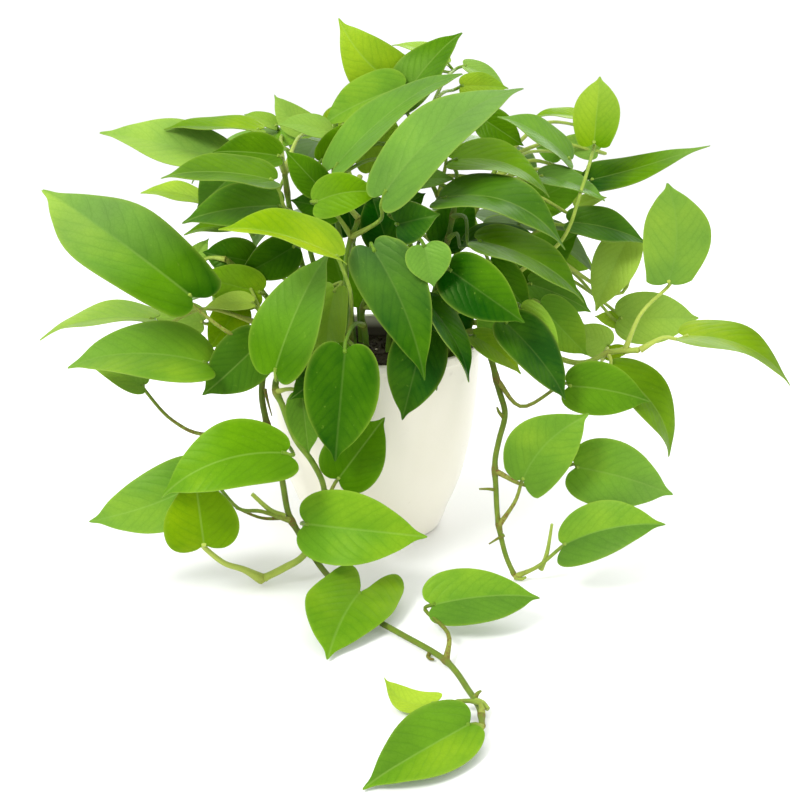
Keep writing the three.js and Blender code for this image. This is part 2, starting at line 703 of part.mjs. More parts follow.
// Settling: each blade and stalk is moved until it clears all that is already in place.
const SHIFTS = [0, 5, -5, 10, -10, 15, -15, 20, -20, 26, -26, 32, -32, 40, -40];
const LEANS = [0, 10, -10, 20, -20];

const boxesMeet = (a, b) => [0, 1, 2].every((k) => a.min[k] <= b.max[k] && b.min[k] <= a.max[k]);

function clears(solid, placed, skip) {
  const box = solid.boundingBox();
  return placed.every(
    (other) => skip(other) || !boxesMeet(box, other.box) || solid.intersect(other.solid).isEmpty(),
  );
}

function place(placed, owner, kind, solid) {
  placed.push({ owner, kind, solid, box: solid.boundingBox() });
}

function settleLeaf(placed, owner, stemLine, leaf, strict) {
  const others = (piece) => piece.owner === owner && !(strict && piece.kind === "blade");
  for (const shift of SHIFTS) {
    for (const lean of LEANS) {
      const frame = bladeFrame(leaf, shift, lean);
      const grown = bladeSolid(frame, CLEAR_GAP);
      if (grown.boundingBox().min[2] < FLOOR_GAP + CLEAR_GAP || !clears(grown, placed, others)) continue;
      for (const bow of BOWS) {
        const line = stalkLine(stemLine, frame, bow);
        const loose = limb(line, STALK_RADIUS + CLEAR_GAP, STALK_TIP_RADIUS + CLEAR_GAP, STALK_SIDES);
        if (!clears(loose, placed, (piece) => piece.owner === owner)) continue;
        return { frame, line };
      }
    }
  }
  return null;
}

function stemLineOf(stem) {
  const [x, y] = stem.root;
  const collar = new THREE.Vector3(x, y, SOIL_TOP + COLLAR_RISE);
  const points = [collar, ...stem.rise.map(vec), ...(stem.path ?? []).map(seen)];
  const length = points.reduce((sum, p, i) => sum + (i ? p.distanceTo(points[i - 1]) : 0), 0);
  const line = smoothLine(points, Math.round(length / STEM_STEP));
  for (const p of line) p.z = Math.max(p.z, STEM_RADIUS + FLOOR_GAP);
  return [new THREE.Vector3(x, y, SOIL_TOP - ROOT_DEPTH), ...line];
}

function farStem({ name, look, root, bearing, leaves }) {
  const [x, y] = root;
  const out = (degrees) => {
    const turn = THREE.MathUtils.degToRad(degrees);
    return new THREE.Vector3(Math.cos(turn), Math.sin(turn), 0);
  };
  const way = out(bearing);
  const rise = [
    [x + way.x * 6, y + way.y * 4, 160],
    [x + way.x * 16, y + way.y * 10, 205],
    [x, y + 4, 240],
  ];
  const fan = FAN_TURNS.map((turn, i) => {
    const far = out(bearing + turn);
    const reach = FAN_REACH - i * FAN_STEP;
    const droop = FAN_DROOP - i * 8;
    const base = far.clone().multiplyScalar(reach).setZ(FAN_HEIGHTS[i]);
    const tip = far.clone().multiplyScalar(reach + FAN_LENGTH * 0.85).setZ(FAN_HEIGHTS[i] - droop);
    return { base: base.toArray(), tip: tip.toArray(), far, at: 0.5 + i * 0.2, arch: 0.12 };
  });
  return { name, look, root, rise, leaves: [...leaves, ...fan] };
}

// Assembly
const group = new THREE.Group();

function addNode(name, solid, look) {
  const mesh = new THREE.Mesh(geometryOf(solid), new THREE.MeshStandardMaterial({ metalness: 0, ...look }));
  mesh.name = name;
  group.add(mesh);
}

const stems = [...STEMS, ...FAR_STEMS.map(farStem)];
const pot = potSolid();
const soil = soilSolid(stems.map((stem) => stem.root));
const placed = [];
place(placed, "pot", "pot", pot);
place(placed, "soil", "soil", soil);

const parts = new Map();
const lines = new Map();
for (const stem of stems) {
  const line = stemLineOf(stem);
  const solid = limb(line, STEM_RADIUS, STEM_TIP_RADIUS, STEM_SIDES);
  const loose = limb(line, STEM_RADIUS + CLEAR_GAP, STEM_TIP_RADIUS + CLEAR_GAP, STEM_SIDES);
  for (const other of placed) {
    if (!clears(loose, [other], () => false)) throw new Error(`${stem.name} meets ${other.owner}`);
  }
  lines.set(stem.name, line);
  parts.set(stem.name, [solid]);
  place(placed, stem.name, "stem", solid);
}

for (const stem of stems) {
  for (const leaf of stem.leaves) {
    const stemLine = lines.get(stem.name);
    const found = settleLeaf(placed, stem.name, stemLine, leaf, true) ??
      settleLeaf(placed, stem.name, stemLine, leaf, false);
    if (!found) throw new Error(`${stem.name}: no room for the leaf at ${leaf.base}`);
    const blade = bladeSolid(found.frame);
    const stalk = limb(found.line, STALK_RADIUS, STALK_TIP_RADIUS, STALK_SIDES);
    place(placed, stem.name, "blade", blade);
    place(placed, stem.name, "stalk", stalk);
    parts.get(stem.name).push(blade, stalk);
  }
}

addNode("pot", pot, POT_LOOK);
addNode("soil", soil, SOIL_LOOK);
for (const stem of stems) {
  // The outer shell alone is kept, so that a pocket sealed between crossing leaves fills up.
  const shells = wasm.Manifold.union(parts.get(stem.name)).simplify(0.05).decompose();
  shells.sort((a, b) => b.volume() - a.volume());
  addNode(stem.name, shells[0], LEAF_LOOKS[stem.look ?? "mid"]);
}

export default group;
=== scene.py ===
# Potted pothos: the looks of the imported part. Tables are in millimetres, as the part's source has them,
# and meshes are made in metres.
import math
import random
from functools import partialmethod

import bpy
import numpy as np
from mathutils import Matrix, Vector
from mathutils.bvhtree import BVHTree


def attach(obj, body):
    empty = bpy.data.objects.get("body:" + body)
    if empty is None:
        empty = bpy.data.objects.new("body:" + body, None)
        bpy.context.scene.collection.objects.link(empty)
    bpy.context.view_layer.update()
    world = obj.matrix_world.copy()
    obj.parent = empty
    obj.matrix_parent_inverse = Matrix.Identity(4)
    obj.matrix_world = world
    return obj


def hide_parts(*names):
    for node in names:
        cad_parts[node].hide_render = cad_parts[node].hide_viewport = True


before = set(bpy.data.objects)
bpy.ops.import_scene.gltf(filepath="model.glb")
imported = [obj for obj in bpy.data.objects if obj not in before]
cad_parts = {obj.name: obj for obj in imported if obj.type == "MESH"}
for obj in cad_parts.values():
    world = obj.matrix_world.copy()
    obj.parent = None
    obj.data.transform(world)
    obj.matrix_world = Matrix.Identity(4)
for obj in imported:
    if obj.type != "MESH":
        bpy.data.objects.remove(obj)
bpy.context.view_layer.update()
print("stage: the packed model is loaded")


# A dictionary whose keys are read as attributes: settings, stems, leaves and blades
class Record(dict):
    __getattr__ = dict.__getitem__


mm = 0.001
up = np.array((0.0, 0.0, 1.0))

# The front view in which the leaves were placed. A seen place is (pixels across, pixels down,
# millimetres nearer than the pot's axis).
view = Record(
    eye=np.array((18.0, -850.0, 347.0)), pitch=math.radians(16.8), focalPixels=1270, framePixels=800,
    sensorWidth=36,
)
pitchCos, pitchSin = math.cos(view.pitch), math.sin(view.pitch)


def unit(v):
    return v / np.linalg.norm(v)


def seen(place):
    across, down, near = place
    u = (across - view.framePixels / 2) / view.focalPixels
    v = (view.framePixels / 2 - down) / view.focalPixels
    ray = np.array((u, pitchCos + v * pitchSin, v * pitchCos - pitchSin))
    return view.eye + ray * ((-near - view.eye[1]) / ray[1])


# A smooth curve through points, read at shares t of its cells
def splineAt(points, t):
    points = np.array(points, float)
    padded = np.vstack([2 * points[0] - points[1], points, 2 * points[-1] - points[-2]])
    place = np.atleast_1d(np.asarray(t, float)) * (len(points) - 1)
    cell = np.clip(place.astype(int), 0, len(points) - 2)
    w = (place - cell)[:, None]
    p0, p1, p2, p3 = (padded[cell + k] for k in range(4))
    m1, m2 = (p2 - p0) / 2, (p3 - p1) / 2
    return p1 + m1 * w + (3 * (p2 - p1) - 2 * m1 - m2) * w**2 + (2 * (p1 - p2) + m1 + m2) * w**3


def lineLength(points):
    return float(np.linalg.norm(np.diff(np.array(points, float), axis=0), axis=1).sum())


def newObject(name, data):
    made = bpy.data.objects.new(name, data)
    bpy.context.scene.collection.objects.link(made)
    return made


# Meshes are gathered as lists of places and faces, with named numbers for each place.
class MeshParts:
    def __init__(self, *numberNames):
        self.places, self.faces, self.kinds = [], [], []
        self.numbers = {name: [] for name in numberNames}
        self.count = 0

    def add(self, places, faces, *numbers, kind=0):
        self.places.append(places)
        self.faces += [tuple(k + self.count for k in face) for face in faces]
        self.kinds += [kind] * len(faces)
        for kept, number in zip(self.numbers.values(), numbers, strict=True):
            kept.append(np.broadcast_to(np.asarray(number, float), (len(places),)))
        self.count += len(places)

    def object(self, name, materials, sharpAngle=50):
        mesh = bpy.data.meshes.new(name)
        mesh.from_pydata((np.vstack(self.places) * mm).tolist(), [], self.faces)
        for numberName, kept in self.numbers.items():
            values = mesh.attributes.new(numberName, "FLOAT", "POINT").data
            values.foreach_set("value", np.concatenate(kept).astype(np.float32))
        for material in materials:
            mesh.materials.append(material)
        mesh.polygons.foreach_set("material_index", np.array(self.kinds, np.int32))
        mesh.shade_smooth()
        mesh.set_sharp_from_angle(angle=math.radians(sharpAngle))
        mesh.update()
        return newObject(name, mesh)


# Where the places of a ring lie, in radians, and the faces from one ring to the next
def ringTurns(sides):
    return np.arange(sides) * 2 * math.pi / sides


def ringFaces(low, high, sides):
    return [(low + k, low + (k + 1) % sides, high + (k + 1) % sides, high + k) for k in range(sides)]


# A round tube along a line, its cross-section carried along without twist
def tube(line, radii, sides):
    ahead = np.gradient(line, axis=0)
    ahead /= np.linalg.norm(ahead, axis=1)[:, None]
    across = np.array((1.0, 0.0, 0.0)) if abs(ahead[0][0]) < 0.8 else np.array((0.0, 1.0, 0.0))
    turns = ringTurns(sides)
    rings = []
    for place, way, radius in zip(line, ahead, radii):
        across = unit(across - way * across.dot(way))
        ring = np.outer(np.cos(turns), across) + np.outer(np.sin(turns), np.cross(way, across))
        rings.append(place + radius * ring)
    last = (len(line) - 1) * sides
    faces = [face for low in range(0, last, sides) for face in ringFaces(low, low + sides, sides)]
    return np.vstack(rings), [*faces, tuple(range(sides - 1, -1, -1)), tuple(range(last, last + sides))]


# A profile of radii and heights turned about the upright axis. Its first and last places lie on the axis.
def lathe(profile, sides):
    turns = ringTurns(sides)
    places = [(0.0, 0.0, profile[0][1])]
    for r, z in profile[1:-1]:
        places.extend(np.column_stack((r * np.cos(turns), r * np.sin(turns), np.full(sides, z))))
    places.append((0.0, 0.0, profile[-1][1]))
    faces = [(0, 1 + (k + 1) % sides, 1 + k) for k in range(sides)]
    last = 1 + (len(profile) - 3) * sides
    for low in range(1, last, sides):
        faces += ringFaces(low, low + sides, sides)
    faces += [(last + k, last + (k + 1) % sides, len(places) - 1) for k in range(sides)]
    return np.array(places), faces


# What a node gives at one of its outputs. Whatever is reckoned with a reading is a node of its own.
class Reading:
    def __init__(self, node, output=0):
        self.node, self.output = node, output

    def __getitem__(self, output):
        return Reading(self.node, output)

    def into(self, kind, inputs, **settings):
        return addNode(self.node.id_data, kind, inputs, **settings)

    def reckon(self, operation, other=0.0):
        return self.into("ShaderNodeMath", {0: self, 1: other}, operation=operation)

    def __rsub__(self, other):
        return self.into("ShaderNodeMath", {0: other, 1: self}, operation="SUBTRACT")

    __add__ = partialmethod(reckon, "ADD")
    __sub__ = partialmethod(reckon, "SUBTRACT")
    __mul__ = partialmethod(reckon, "MULTIPLY")
    __pow__ = partialmethod(reckon, "POWER")
    __abs__ = partialmethod(reckon, "ABSOLUTE")

    def clamped(self):
        self.node.use_clamp = True
        return self

    def ramp(self, low, high, start=0.0, end=1.0, shape="SMOOTHSTEP"):
        inputs = {"Value": self, "From Min": low, "From Max": high, "To Min": start, "To Max": end}
        return self.into("ShaderNodeMapRange", inputs, interpolation_type=shape)

    def mix(self, share, second, blend="MIX"):
        inputs = {0: share, 6: self, 7: second}
        settings = {"data_type": "RGBA", "blend_type": blend, "clamp_factor": True}
        return self.into("ShaderNodeMix", inputs, **settings)[2]

    def bump(self, strength, distance):
        return self.into("ShaderNodeBump", {"Strength": strength, "Distance": distance, "Height": self})


def addNode(tree, kind, inputs=None, **settings):
    node = tree.nodes.new(kind)
    for name, value in settings.items():
        setattr(node, name, value)
    for name, value in (inputs or {}).items():
        if isinstance(value, Reading):
            tree.links.new(value.node.outputs[value.output], node.inputs[name])
        else:
            node.inputs[name].default_value = value
    return Reading(node)


def attribute(tree, name):
    return addNode(tree, "ShaderNodeAttribute", attribute_name=name)["Fac"]


def objectPlace(tree):
    return addNode(tree, "ShaderNodeTexCoord")["Object"]


def noiseAt(tree, scale, detail):
    inputs = {"Vector": objectPlace(tree), "Scale": scale, "Detail": detail}
    return addNode(tree, "ShaderNodeTexNoise", inputs)


def colour(red, green, blue):
    return (red, green, blue, 1.0)


def newGroup(name, inputs):
    group = bpy.data.node_groups.new(name, "ShaderNodeTree")
    for title, value in inputs.items():
        kind = "NodeSocketColor" if isinstance(value, tuple) else "NodeSocketFloat"
        group.interface.new_socket(name=title, in_out="INPUT", socket_type=kind).default_value = value
    return group, addNode(group, "NodeGroupInput")


def closeGroup(group, **results):
    for title, result in results.items():
        isColour = result.node.outputs[result.output].type == "RGBA"
        kind = "NodeSocketColor" if isColour else "NodeSocketFloat"
        group.interface.new_socket(name=title, in_out="OUTPUT", socket_type=kind)
    addNode(group, "NodeGroupOutput", results)
    return group


def useGroup(tree, group, inputs, **more):
    return addNode(tree, "ShaderNodeGroup", {**inputs, **more}, node_tree=group)


def newMaterial(name):
    material = bpy.data.materials.new(name)
    material.use_nodes = True
    material.node_tree.nodes.clear()
    return material, material.node_tree


def closeMaterial(material, shader):
    addNode(material.node_tree, "ShaderNodeOutputMaterial", {"Surface": shader})
    return material


# Veins that leave the midrib by turns on each side and curve toward the tip. A little noise keeps them
# from lying at even steps.
veinShape = Record(
    noise={"Scale": 28.0, "Detail": 1.0}, stray=0.035, fadeFrom=0.62, midrib=(0.008, 0.045), networkEdge=0.12,
    pillowPower=2.4, pillowFrom=0.25, midribDepth=0.7, networkDepth=0.06,
)


def makeVeinGroup(shape):
    tree, given = newGroup("leafVeins", {
        "Along": 0.0, "Across": 0.0, "Vein Count": 9.0, "Slant": 0.2, "Curve": 0.12, "Vein Width": 0.2,
        "Network Scale": 320.0,
    })
    distance = abs(given["Across"])
    start = given["Along"] - (distance * given["Slant"] + distance * distance * given["Curve"])
    stray = (addNode(tree, "ShaderNodeTexNoise", shape.noise) - 0.5) * shape.stray
    turn = given["Across"].reckon("LESS_THAN") * 0.5
    share = ((start + stray) * given["Vein Count"] + turn).reckon("FRACT")
    ridge = abs(share - 0.5) * 2.0
    fade = distance.ramp(shape.fadeFrom, 1.0, 1.0, 0.0)
    midrib = distance.ramp(*shape.midrib, 1.0, 0.0)
    cells = {"Vector": objectPlace(tree), "Scale": given["Network Scale"]}
    edges = addNode(tree, "ShaderNodeTexVoronoi", cells, feature="DISTANCE_TO_EDGE")
    network = edges.ramp(0.0, shape.networkEdge, 1.0, 0.0)
    pillow = (1.0 - ridge ** shape.pillowPower) * distance.ramp(0.0, shape.pillowFrom)
    relief = pillow * fade - midrib * shape.midribDepth - network * shape.networkDepth
    veins = ridge.ramp(1.0 - given["Vein Width"], 1.0) * fade
    return closeGroup(tree, Veins=veins, Midrib=midrib, Network=network, Relief=relief)


# Specks or cells of any size: a mask of the strongest and a height
def makeSpeckGroup():
    start = {"Scale": 200.0, "Detail": 3.0, "Amount": 0.4, "Softness": 0.1}
    tree, given = newGroup("surfaceSpecks", start)
    height = noiseAt(tree, given["Scale"], given["Detail"])
    level = 0.75 - given["Amount"] * 0.5
    mask = height.ramp(level, level + given["Softness"], shape="LINEAR")
    return closeGroup(tree, Mask=mask, Height=height)


# A colour between three by a tone, with soft patches
def makeTintGroup():
    tree, given = newGroup("softTint", {
        "Dark": colour(0.03, 0.09, 0.01), "Middle": colour(0.1, 0.25, 0.03), "Light": colour(0.3, 0.5, 0.05),
        "Tone": 0.5, "Patches": 0.15, "Patch Scale": 60.0,
    })
    stray = (noiseAt(tree, given["Patch Scale"], 6.0) - 0.5) * given["Patches"]
    tone = given["Tone"] + stray * 2.0
    darker = given["Dark"].mix((tone * 2.0).clamped(), given["Middle"])
    return closeGroup(tree, Colour=darker.mix((tone * 2.0 - 1.0).clamped(), given["Light"]))


veinGroup = makeVeinGroup(veinShape)
speckGroup = makeSpeckGroup()
tintGroup = makeTintGroup()
print("stage: shader groups are ready")

# Leaf materials: one for each finish, with the same build. The meshes of the blades carry these numbers.
leafNumbers = (
    "leafAlong", "leafAcross", "leafEdge", "leafTone", "leafUnder", "leafLime", "leafSheen", "leafSplit",
    "leafFade",
)
leafLooks = {
    "deep": Record(roughness=0.25, gloss=0.14, seeThrough=0.12, relief=0.2, lines=0.3),
    "mid": Record(roughness=0.28, gloss=0.13, seeThrough=0.22, relief=0.2, lines=0.7),
    "bright": Record(roughness=0.31, gloss=0.13, seeThrough=0.26, relief=0.18, lines=0.8),
}
leafKit = Record(
    tint={
        "Dark": colour(0.003, 0.056, 0.0004), "Middle": colour(0.105, 0.27, 0.003),
        "Light": colour(0.36, 0.56, 0.012), "Patches": 0.36, "Patch Scale": 24.0,
    },
    veins={"Vein Count": 8.0, "Slant": 0.27, "Curve": 0.2, "Vein Width": 0.15, "Network Scale": 330.0},
    freckles={"Scale": 380.0, "Detail": 2.0, "Amount": 0.1, "Softness": 0.06},
    cells={"Scale": 900.0, "Detail": 2.0, "Amount": 0.5, "Softness": 0.2},
    warm={"Hue": 0.475, "Saturation": 1.05, "Value": 1.28}, lime=colour(1.0, 0.93, 0.3),
    sheen=colour(0.3, 0.42, 0.19), freckle=colour(0.27, 0.43, 0.05), rib=colour(0.42, 0.6, 0.13),
    veinShade=colour(0.42, 0.6, 0.3), through=colour(0.3, 0.55, 0.01), margin=colour(0.36, 0.5, 0.06),
    shine=colour(0.72, 1.0, 0.3), veinShare=0.22, midribShare=0.24, networkShare=0.16, swell=0.03,
    bumpDepth=0.0006, fadeTone=0.4, fadeSheen=1.6, sheenShare=0.3, freckleShare=0.2, underShare=0.22,
    marginPower=22.0, marginShare=0.35, cellRough=0.12, underRough=0.16, cellHeight=0.2, throughShare=0.45,
    ior=1.45,
)


def makeLeafMaterial(name, look):
    kit = leafKit
    material, tree = newMaterial(name)
    along, across, edge, tone, under, lime, sheen, paintedHalfShade, fade = (attribute(tree, n) for n in leafNumbers)
    vein = useGroup(tree, veinGroup, kit.veins, Along=along, Across=across)
    # One half may be lighter than the other: painted light, as it falls on the folded blade.
    halves = across.ramp(-0.05, 0.05, -1.0, 1.0) * paintedHalfShade
    # Painted shade: the tone is lighter on the pillows between the veins and darker in their grooves.
    swell = (vein["Relief"] - 0.5) * kit.swell
    # A blade may also turn paler toward its tip, or toward its notch where the fade is below zero: painted
    # light and painted sheen along the blade.
    fade = (along - 0.5) * fade
    shade = tone + halves + swell + fade * kit.fadeTone
    sheen = (sheen + fade * kit.fadeSheen).clamped()
    tint = useGroup(tree, tintGroup, kit.tint, Tone=shade)["Colour"]
    limed = tint.mix(lime, tint.mix(1.0, kit.lime, "MULTIPLY"))
    limed = limed.mix(lime, addNode(tree, "ShaderNodeHueSaturation", {**kit.warm, "Color": limed}))
    # Painted sheen: the face is paled toward grey-green, a painted reflection of light.
    face = limed.mix(sheen * kit.sheenShare, kit.sheen)
    # Side veins and the network are darker lines, and the midrib is a paler one.
    lines = (vein["Network"] * kit.networkShare).reckon("MAXIMUM", vein["Veins"] * kit.veinShare)
    face = face.mix(lines, kit.veinShade, "MULTIPLY")
    rib = vein["Midrib"] * (kit.midribShare * look.lines) * sheen.ramp(0.1, 0.9, 1.0, 0.25)
    face = face.mix(rib, kit.rib)
    face = face.mix(edge ** kit.marginPower * kit.marginShare, kit.margin)
    freckles = useGroup(tree, speckGroup, kit.freckles)
    face = face.mix(freckles["Mask"] * kit.freckleShare, kit.freckle)
    # The underside is paler in its own right and takes the painted sheen's colour.
    face = face.mix(under * kit.underShare, kit.sheen)
    cells = useGroup(tree, speckGroup, kit.cells)["Height"]
    rough = cells * kit.cellRough + look.roughness + under * kit.underRough
    bump = (vein["Relief"] + cells * kit.cellHeight).bump(look.relief, kit.bumpDepth)
    surface = addNode(tree, "ShaderNodeBsdfPrincipled", {
        "Base Color": face, "Roughness": rough, "Normal": bump, "IOR": kit.ior,
        "Specular IOR Level": look.gloss, "Specular Tint": kit.shine,
    })
    glow = limed.mix(kit.throughShare, kit.through)
    through = addNode(tree, "ShaderNodeBsdfTranslucent", {"Color": glow, "Normal": bump})
    shader = addNode(tree, "ShaderNodeMixShader", {0: look.seeThrough, 1: surface, 2: through})
    return closeMaterial(material, shader)


# Stems and leaf stalks: green, browner and rougher at the joints, with fine ridges along them
stalkNumbers = ("stalkTone", "stalkJoint", "stalkRound")
stalkLook = Record(
    tint={
        "Dark": colour(0.045, 0.1, 0.008), "Middle": colour(0.13, 0.25, 0.014),
        "Light": colour(0.4, 0.5, 0.08), "Patches": 0.25, "Patch Scale": 140.0,
    },
    specks={"Scale": 700.0, "Detail": 3.0, "Amount": 0.45, "Softness": 0.12}, brown=colour(0.17, 0.09, 0.025),
    brownShare=0.55, roughness=0.4, brownRough=0.25, ridges=50.0, ridgeHeight=0.2, relief=0.45,
    bumpDepth=0.0004, gloss=0.2,
)


def makeStalkMaterial(look):
    material, tree = newMaterial("green_stalk")
    tone, joint, around = (attribute(tree, n) for n in stalkNumbers)
    tint = useGroup(tree, tintGroup, look.tint, Tone=tone)["Colour"]
    specks = useGroup(tree, speckGroup, look.specks)
    share = (joint * (specks["Mask"] + look.brownShare)).clamped()
    height = specks["Height"] + (around * look.ridges).reckon("SINE") * look.ridgeHeight
    rough = joint * look.brownRough + look.roughness
    return closeMaterial(material, addNode(tree, "ShaderNodeBsdfPrincipled", {
        "Base Color": tint.mix(share, look.brown), "Roughness": rough,
        "Normal": height.bump(look.relief, look.bumpDepth), "Specular IOR Level": look.gloss,
    }))


leafMaterials = {kind: makeLeafMaterial(f"leaf_{kind}_blade", look) for kind, look in leafLooks.items()}
stalkMaterial = makeStalkMaterial(stalkLook)
print("stage: leaf materials are ready")

# Pot: one moulded shell of white plastic. Dust lies near the rim and the foot, in shares. The inner wall
# above the fill is painted nearly black and dulled: painted shade in the mouth of the pot.
potLook = Record(
    height=135, rimRadius=75, baseRadius=43, wall=2.4, floor=3, lipHeight=6, lipProud=1.4, lipFillet=1.2,
    footRecess=1.2, footWidth=5, sides=112, sideRows=40, wallRows=18,
    tint={
        "Dark": colour(0.78, 0.72, 0.57), "Middle": colour(0.84, 0.8, 0.69), "Light": colour(0.84, 0.8, 0.69),
        "Tone": 0.45, "Patches": 0.2, "Patch Scale": 14.0,
    },
    specks={"Scale": 160.0, "Detail": 6.0, "Amount": 0.3, "Softness": 0.18},
    peel={"Scale": 320.0, "Detail": 1.0, "Amount": 0.5, "Softness": 0.3}, dust=colour(0.22, 0.16, 0.09),
    rimDust=0.3, rimBand=26, footDust=0.35, footBand=9, plainDust=0.02, stain=colour(0.035, 0.024, 0.013),
    stainShare=0.97, stainRagged=8, stainBelow=(6, 4), roughness=0.24, dustRough=0.14, stainRough=0.55,
    coat=0.3, coatRoughness=0.12, relief=0.12, bumpDepth=0.0003,
)


def makePotMaterial(look):
    material, tree = newMaterial("pot_white_plastic")
    tint = useGroup(tree, tintGroup, look.tint)["Colour"]
    dust = useGroup(tree, speckGroup, look.specks)
    level = addNode(tree, "ShaderNodeSeparateXYZ", {0: objectPlace(tree)})["Z"]
    nearRim = level.ramp((look.height - look.rimBand) * mm, look.height * mm) * look.rimDust
    nearFoot = level.ramp(0.0, look.footBand * mm, 1.0, 0.0) * look.footDust
    share = (dust["Mask"] * (nearRim + nearFoot + look.plainDust)).clamped()
    # Painted shade: the inner wall is darkened nearly to black and dulled, up to a ragged line below the lip.
    above = level - dust["Height"] * (look.stainRagged * mm)
    edges = [(look.height - below) * mm for below in look.stainBelow]
    stain = above.ramp(*edges, look.stainShare, 0.0) * attribute(tree, "potInside")
    peel = useGroup(tree, speckGroup, look.peel)["Height"]
    rough = dust["Height"] * look.dustRough + look.roughness + stain * look.stainRough
    return closeMaterial(material, addNode(tree, "ShaderNodeBsdfPrincipled", {
        "Base Color": tint.mix(share, look.dust).mix(stain, look.stain), "Roughness": rough,
        "Normal": peel.bump(look.relief, look.bumpDepth), "Coat Weight": (1.0 - stain) * look.coat,
        "Coat Roughness": look.coatRoughness,
    }))


# The pot's outer half profile, from base to rim: (radius, height)
potProfile = [
    (potLook.baseRadius, 0), (46.5, 1.6), (49.5, 8), (52.6, 17), (57.4, 28), (63.2, 46), (69.2, 76),
    (71.6, 100), (potLook.rimRadius - potLook.lipProud, potLook.height - potLook.lipHeight - 1),
]


def potRadius(z):
    radii, heights = zip(*potProfile)
    return float(np.interp(z, heights, radii))


def buildPot():
    look = potLook
    top, fillet, wall, floor = look.height, look.lipFillet, look.wall, look.floor
    foot = look.baseRadius - look.footWidth
    under = [(0, look.footRecess), (foot - 2, look.footRecess), (foot, 0.6), (foot + 0.6, 0)]
    under += [(look.baseRadius - 0.4, 0), (look.baseRadius + 1.6, 0.4)]
    side = [tuple(p) for p in splineAt(potProfile[1:], np.linspace(0, 1, look.sideRows))]
    turn = np.radians(np.arange(0, 91, 18))
    outer, lipBase = look.rimRadius - fillet, top - look.lipHeight + fillet
    lipLow = [(outer + fillet * math.sin(a), lipBase - fillet * math.cos(a)) for a in turn]
    lipHigh = [(outer + fillet * math.cos(a), top - fillet + fillet * math.sin(a)) for a in turn]
    mouth = look.rimRadius - look.lipProud - wall
    inside = [(mouth + fillet * (1 - math.sin(a)), top - fillet * (1 - math.cos(a))) for a in turn[::-1]]
    down = [(potRadius(z) - wall, z) for z in np.linspace(top - 10, floor + 2, look.wallRows)]
    down += [(potRadius(floor) - wall - 2, floor), (0, floor)]
    profile = [*under, *side, *lipLow, *lipHigh, *inside, *down]
    rows = [i >= len(profile) - len(down) for i in range(len(profile))]
    inner = np.concatenate([rows[:1], np.repeat(rows[1:-1], look.sides), rows[-1:]])
    parts = MeshParts("potInside")
    parts.add(*lathe(profile, look.sides), inner)
    pot = parts.object("pot_shell", [makePotMaterial(look)], sharpAngle=40)
    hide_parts("pot")
    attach(pot, "root")


buildPot()
print("stage: the pot is built")

# Soil: a dark crumbly fill, domed a little, with loose crumbs and a few pale grains on it
soilLook = Record(
    top=120, dome=3, gap=0.3, sides=96, rings=34, rough=1.3, seed=7, crumbs=420, crumbRadii=(0.8, 2.1),
    grains=46, grainRadii=(0.7, 1.2), shake=0.28, wet=colour(0.008, 0.006, 0.002),
    damp=colour(0.02, 0.015, 0.006), dry=colour(0.05, 0.036, 0.018), grain=colour(0.4, 0.36, 0.28),
    tint={"Tone": 0.45, "Patches": 0.5, "Patch Scale": 220.0},
    fibres={"Scale": 900.0, "Detail": 5.0, "Amount": 0.35, "Softness": 0.08}, fibreShare=0.5,
    surface={"Roughness": 0.92, "Specular IOR Level": 0.15}, relief=0.9, bumpDepth=0.0012,
)


def makeSoilMaterial(name, dark, middle, light):
    look = soilLook
    material, tree = newMaterial(name)
    tint = useGroup(tree, tintGroup, look.tint, Dark=dark, Middle=middle, Light=light)["Colour"]
    fibres = useGroup(tree, speckGroup, look.fibres)
    face = tint.mix(fibres["Mask"] * look.fibreShare, light)
    bump = fibres["Height"].bump(look.relief, look.bumpDepth)
    inputs = {"Base Color": face, "Normal": bump, **look.surface}
    return closeMaterial(material, addNode(tree, "ShaderNodeBsdfPrincipled", inputs))


def soilRadius(z):
    return potRadius(z) - potLook.wall - soilLook.gap


def soilHeight(x, y):
    look = soilLook
    share = np.clip(np.hypot(x, y) / soilRadius(look.top), 0, 1)
    # Three waves of unlike lengths, which die out toward the wall
    ripple = np.sin(x * 0.31 + 1.7) * np.cos(y * 0.37) + 0.6 * np.sin(x * 0.83 + y * 0.61)
    ripple = ripple + 0.4 * np.cos(y * 1.3 - x * 0.9)
    return look.top + look.dome * (1 - share**2) + look.rough * (ripple - 1) * 0.5 * (1 - share**6)


def crumb(rng, radius):
    places, faces = lathe([(0, -1), (0.7, -0.7), (1, 0), (0.7, 0.7), (0, 1)], 6)
    shake = soilLook.shake
    shaken = places * (1 + np.array([[rng.uniform(-shake, shake) for _ in range(3)] for _ in places]))
    turn = rng.uniform(0, math.tau)
    spin = ((math.cos(turn), -math.sin(turn), 0), (math.sin(turn), math.cos(turn), 0), (0, 0, 0.75))
    return (shaken * radius) @ np.array(spin).T, faces


